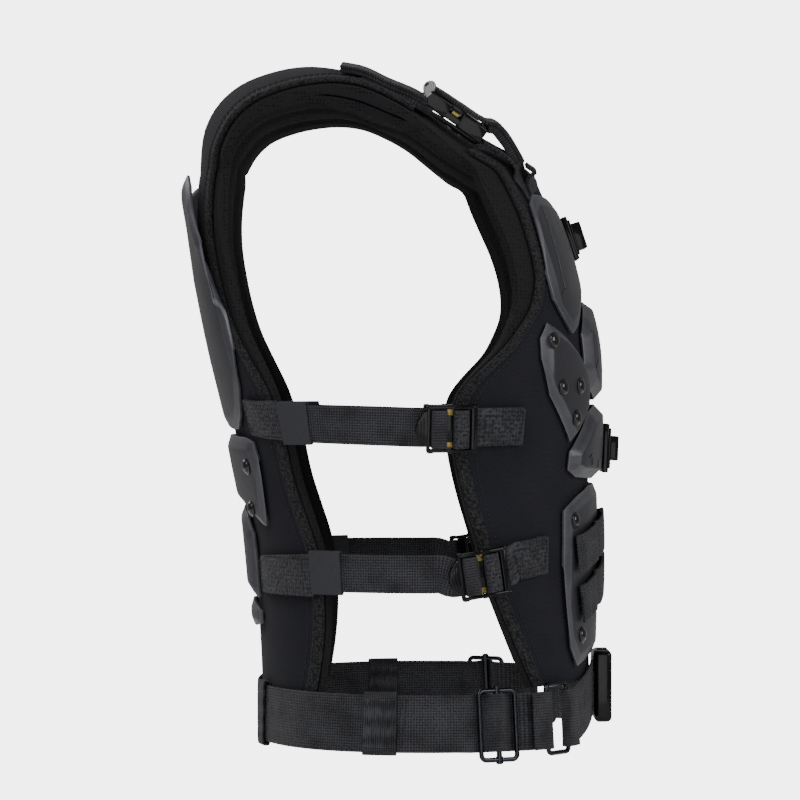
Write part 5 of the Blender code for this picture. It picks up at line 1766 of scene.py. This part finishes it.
# Webbing and buckle on the right shoulder, points on the outer face of each piece
SHOULDER_FLAP = ((-0.121, -0.008, 0.0176), (-0.121, -0.022, 0.0149), (-0.120, -0.040, 0.0068),
                 (-0.119, -0.0596, -0.0016), (-0.1185, -0.0655, -0.0052))
# Where the flap's lowest layer ends
SHOULDER_TIE_END = ((-0.1183, -0.0700, -0.0079),)
SHOULDER_TAIL = ((-0.118, -0.0655, 0.0052), (-0.118, -0.0760, -0.0010), (-0.116, -0.0900, -0.0100),
                 (-0.113, -0.1050, -0.0190), (-0.111, -0.1110, -0.0205), (-0.107, -0.1195, -0.0280),
                 (-0.103, -0.1262, -0.0380), (-0.101, -0.1300, -0.0445))
SHOULDER_STRAP = ((-0.1120, -0.1016, -0.0320),)
SHOULDER_STRAP_LAID = ((0.1060, -0.0500, 0.0038), (0.1030, -0.0560, 0.0025), (0.1000, -0.0620, 0.0023),
                       (0.0970, -0.0680, 0.0021))
SHOULDER_KEEPER = ((-0.099, -0.1325, -0.0476), (-0.098, -0.1388, -0.0530))
SHOULDER_KEEPER_LAID = ((0.0960, -0.0600, 0.0062), (0.0955, -0.0645, 0.0046), (0.0950, -0.0680, 0.0041))
# The tail's folded layer, which lies under it
SHOULDER_FOLD = ((-0.1130, -0.1030, -0.0222), (-0.1110, -0.1092, -0.0228), (-0.1070, -0.1175, -0.0302),
                 (-0.1035, -0.1235, -0.0390), (-0.1020, -0.1262, -0.0440))
SHOULDER_BUCKLE_START = (-0.119, -0.0620, -0.0040)
SHOULDER_BUCKLE_END = (-0.113, -0.1010, -0.0315)
SHOULDER_LEAN = math.radians(9)
SHOULDER_ACROSS = np.array((math.cos(SHOULDER_LEAN), 0.0, math.sin(SHOULDER_LEAN)))


def free_spots(points, laid=()):
    """Spots of webbing that leans outwards like the shoulder, then lies on the front."""
    centres = [np.array(point) for point in points]
    acrosses = [SHOULDER_ACROSS] * len(points)
    for girth, z, lift in laid:
        here, out, level, _ = torso_frame(girth, z)
        centres.append(here + out * lift)
        acrosses.append(-level)
    if laid:
        acrosses[len(points)] = SHOULDER_ACROSS + acrosses[len(points) + 1]
    up = np.array((0.0, -0.6, 0.8))
    return [(centre, up, unit(across)) for centre, across in zip(centres, acrosses)]


def lowered(spots, drop):
    """The same spots, straight below."""
    return [(centre - np.array((0.0, 0.0, drop)), up, across) for centre, up, across in spots]


class VEST_OT_shoulders(bpy.types.Operator):
    """Adds the shoulder flaps, buckles, webbing tails and keepers"""
    bl_idname = "vest.shoulders"
    bl_label = "Shoulder hardware"

    def execute(self, context):
        width = sizes().strap_width
        web = finish(woven_webbing)
        spots = free_spots(SHOULDER_FLAP)
        # A third layer ties the buckle's rear bar down to the shoulder
        tied = free_spots(SHOULDER_FLAP + SHOULDER_TIE_END)[1:]
        layers = [ribbon("shoulder_flap_top", spots, 0.0396, thickness=0.0019, steps=6),
                  ribbon("shoulder_flap_under", lowered(spots, 0.0021), 0.0380, thickness=0.0026, steps=6),
                  ribbon("shoulder_flap_tie", lowered(tied, 0.0046), 0.0360, thickness=0.0052, steps=6)]
        dress_pair(joined(layers, "shoulder_flap_webbing_right"), web, "webbing", "shoulder_flap_right")
        dress_pair(ribbon("shoulder_tail_webbing_right", free_spots(SHOULDER_TAIL), width, thickness=0.0026,
                          steps=5), web, "webbing", "shoulder_tail_right")
        dress_pair(ribbon("shoulder_strap_webbing_right", free_spots(SHOULDER_STRAP, SHOULDER_STRAP_LAID),
                          width, steps=5), web, "webbing", "shoulder_strap_right")
        dress_pair(ribbon("shoulder_tail_fold_right", free_spots(SHOULDER_FOLD), width - 0.002,
                          thickness=0.0052, steps=5), web, "webbing")
        dress_pair(ribbon("shoulder_keeper_webbing_right", free_spots(SHOULDER_KEEPER, SHOULDER_KEEPER_LAID),
                          0.020, thickness=0.0026, steps=5), web, "webbing", "shoulder_keeper_right")
        start = np.array(SHOULDER_BUCKLE_START)
        end = np.array(SHOULDER_BUCKLE_END)
        length = float(np.linalg.norm(end - start))
        along = (end - start) / length
        across = unit(SHOULDER_ACROSS - along * np.dot(SHOULDER_ACROSS, along))
        out = np.cross(along, across)
        if out[2] < 0:
            out = -out
            across = -across
        matrix = turned_to(0.5 * (start + end) + out * 0.0021, along, across, out)
        parts = []
        half = length / 2
        for side in (-1, 1):
            block = box_piece("block", (0.0195, 0.0300, 0.0106), 0.0012, 3, (side * (half - 0.00975), 0, 0))
            cut_away(block, box_piece("bite", (0.0120, 0.0230, 0.0036), 0.0, 1,
                                      (side * (half - 0.0100), 0, -0.0044)))
            parts.append(block)
            parts.append(box_piece("rail", (length - 0.004, 0.0030, 0.0050), 0.0008, 2,
                                   (0, side * 0.0134, -0.0020)))
            parts.append(box_piece("lip", (0.0022, 0.0270, 0.0022), 0.0007, 2,
                                   (side * (half - 0.0030), 0, 0.0052)))
        parts.append(box_piece("hinge", (0.0120, 0.0240, 0.0034), 0.0007, 2, (0, 0, 0.0048)))
        made = place_piece(joined(parts, "shoulder_buckle_moulding_right"), matrix)
        smooth_finish(made, HARD_EDGE)
        dress_pair(made, finish(moulded_buckle), "buckle_plastic", "shoulder_buckle_right")
        latch = box_piece("shoulder_latch_right", (0.0062, 0.0252, 0.0050), 0.0008, 3, (0, 0, 0.0004))
        dress_pair(place_piece(latch, matrix), finish(brass_plate), "wire_steel")
        # Folded end of the tail at the back of the buckle, pale grey as a painted highlight
        fold = []
        for degrees in range(-80, 100, 15):
            rise, back = math.sin(math.radians(degrees)), math.cos(math.radians(degrees))
            centre = start + out * (0.0064 + 0.0054 * rise) + along * (0.0030 - 0.0056 * back)
            fold.append((centre, out * rise - along * back, across))
        dress_pair(ribbon("shoulder_fold_webbing_right", fold, width + 0.006, thickness=0.0044, steps=2),
                   finish(bare_webbing), "webbing")
        return {"FINISHED"}


class VEST_OT_seams(bpy.types.Operator):
    """Adds the seams beside and on the bindings"""
    bl_idname = "vest.seams"
    bl_label = "Seams"

    def execute(self, context):
        stitches = []
        for _, first, last in PANEL_SPANS:
            rows = [cloth_row(place) for place in even(first, last, int((last - first) * 5) + 1)]
            # On the binding, then on the panel beside it
            for inset, lift in ((0.0072, 0.0011), (BINDING_WIDTH + 0.0045, 0.0002)):
                stitches += seam([cloth_at(row, row[3] + inset, lift) for row in rows], SEAM_PITCH)
        dress_pair(sewn("binding_stitches_right", stitches), finish(bonded_thread), "binding_tape")
        return {"FINISHED"}


LIGHTS = (
    # name, location, size, power
    ("key_light", (-1.6, 0.9, 1.5), 1.6, 46.0),
    ("front_light", (-1.3, -1.7, 0.5), 1.2, 30.0),
    ("rim_light", (1.4, 1.2, 1.2), 1.4, 26.0),
    ("low_light", (-1.8, -0.1, -0.4), 1.0, 9.0),
)
LIGHTS_AIM = (0.0, -0.05, -0.2)
FLOOR_SIZE = 2.2
FLOOR_Z = -0.62
# Strength of the room on the vest, and behind it
ROOM_LIGHT = 0.32
ROOM_WHITE = 5.0
CAMERA_PLACE = (-2.5, -0.047, -0.207)
CAMERA_LENS = 160.7


class VEST_OT_stage(bpy.types.Operator):
    """Adds the floor, the soft lights and the camera"""
    bl_idname = "vest.stage"
    bl_label = "Stage"

    def execute(self, context):
        deselect()
        bpy.ops.mesh.primitive_plane_add(size=FLOOR_SIZE, location=(0.0, 0.0, FLOOR_Z))
        floor = bpy.context.object
        floor.name = "floor"
        settle(floor)
        paper, tree, shader, spot = new_material("matte_paper_floor", linear("#fbfbfb"), 0.9)
        fibres = add_node(tree, "ShaderNodeTexNoise", {"Vector": spot, "Scale": 700.0})
        bumped(tree, shader, fibres.outputs[0], 0.05, 0.0003)
        floor.data.materials.append(paper)
        for name, location, size, power in LIGHTS:
            data = bpy.data.lights.new(name, "AREA")
            data.size = size
            data.energy = power
            light = bpy.data.objects.new(name, data)
            context.scene.collection.objects.link(light)
            light.location = location
            aim = Vector(LIGHTS_AIM) - Vector(location)
            light.rotation_euler = aim.to_track_quat("-Z", "Y").to_euler()
        world = bpy.data.worlds.new("white_room")
        world.use_nodes = True
        room = world.node_tree.nodes["Background"]
        room.inputs["Color"].default_value = (1.0, 1.0, 1.0, 1.0)
        # The room lights the vest gently, and is white behind it
        ray = add_node(world.node_tree, "ShaderNodeLightPath")
        level = add_node(world.node_tree, "ShaderNodeMapRange",
                         {0: ray.outputs["Is Camera Ray"], 3: ROOM_LIGHT, 4: ROOM_WHITE})
        world.node_tree.links.new(level.outputs[0], room.inputs["Strength"])
        context.scene.world = world
        data = bpy.data.cameras.new("camera")
        data.lens = CAMERA_LENS
        data.sensor_width = 36.0
        camera = bpy.data.objects.new("camera", data)
        context.scene.collection.objects.link(camera)
        camera.location = CAMERA_PLACE
        camera.rotation_euler = (math.radians(90), 0.0, math.radians(-90))
        context.scene.camera = camera
        return {"FINISHED"}


class VEST_PT_sidebar(bpy.types.Panel):
    """Lists the vest's operators, sizes and colours"""
    bl_idname = "VEST_PT_sidebar"
    bl_label = "Tactical vest"
    bl_space_type = "VIEW_3D"
    bl_region_type = "UI"
    bl_category = "Vest"

    def draw(self, context):
        for step in STEPS:
            self.layout.operator(step.bl_idname)
        for settings in (context.scene.vest_sizes, context.scene.vest_colours):
            for key in settings.__annotations__:
                self.layout.prop(settings, key)


STEPS = (
    VEST_OT_inner_pad, VEST_OT_panels, VEST_OT_bindings, VEST_OT_seams, VEST_OT_plates, VEST_OT_rivets,
    VEST_OT_plate_beads, VEST_OT_plate_slots, VEST_OT_load_bands, VEST_OT_chest_clips,
    VEST_OT_side_straps, VEST_OT_side_buckles, VEST_OT_belt, VEST_OT_belt_hardware, VEST_OT_belt_buckle,
    VEST_OT_shoulders, VEST_OT_stage,
)
CLASSES = (VestSizes, VestColours) + STEPS + (VEST_PT_sidebar,)


def register():
    for item in CLASSES:
        bpy.utils.register_class(item)
    bpy.types.Scene.vest_sizes = bpy.props.PointerProperty(type=VestSizes)
    bpy.types.Scene.vest_colours = bpy.props.PointerProperty(type=VestColours)


def unregister():
    del bpy.types.Scene.vest_colours
    del bpy.types.Scene.vest_sizes
    for item in reversed(CLASSES):
        bpy.utils.unregister_class(item)


def main():
    register()
    for step in STEPS:
        group, name = step.bl_idname.split(".")
        getattr(getattr(bpy.ops, group), name)()


if __name__ == "__main__":
    main()
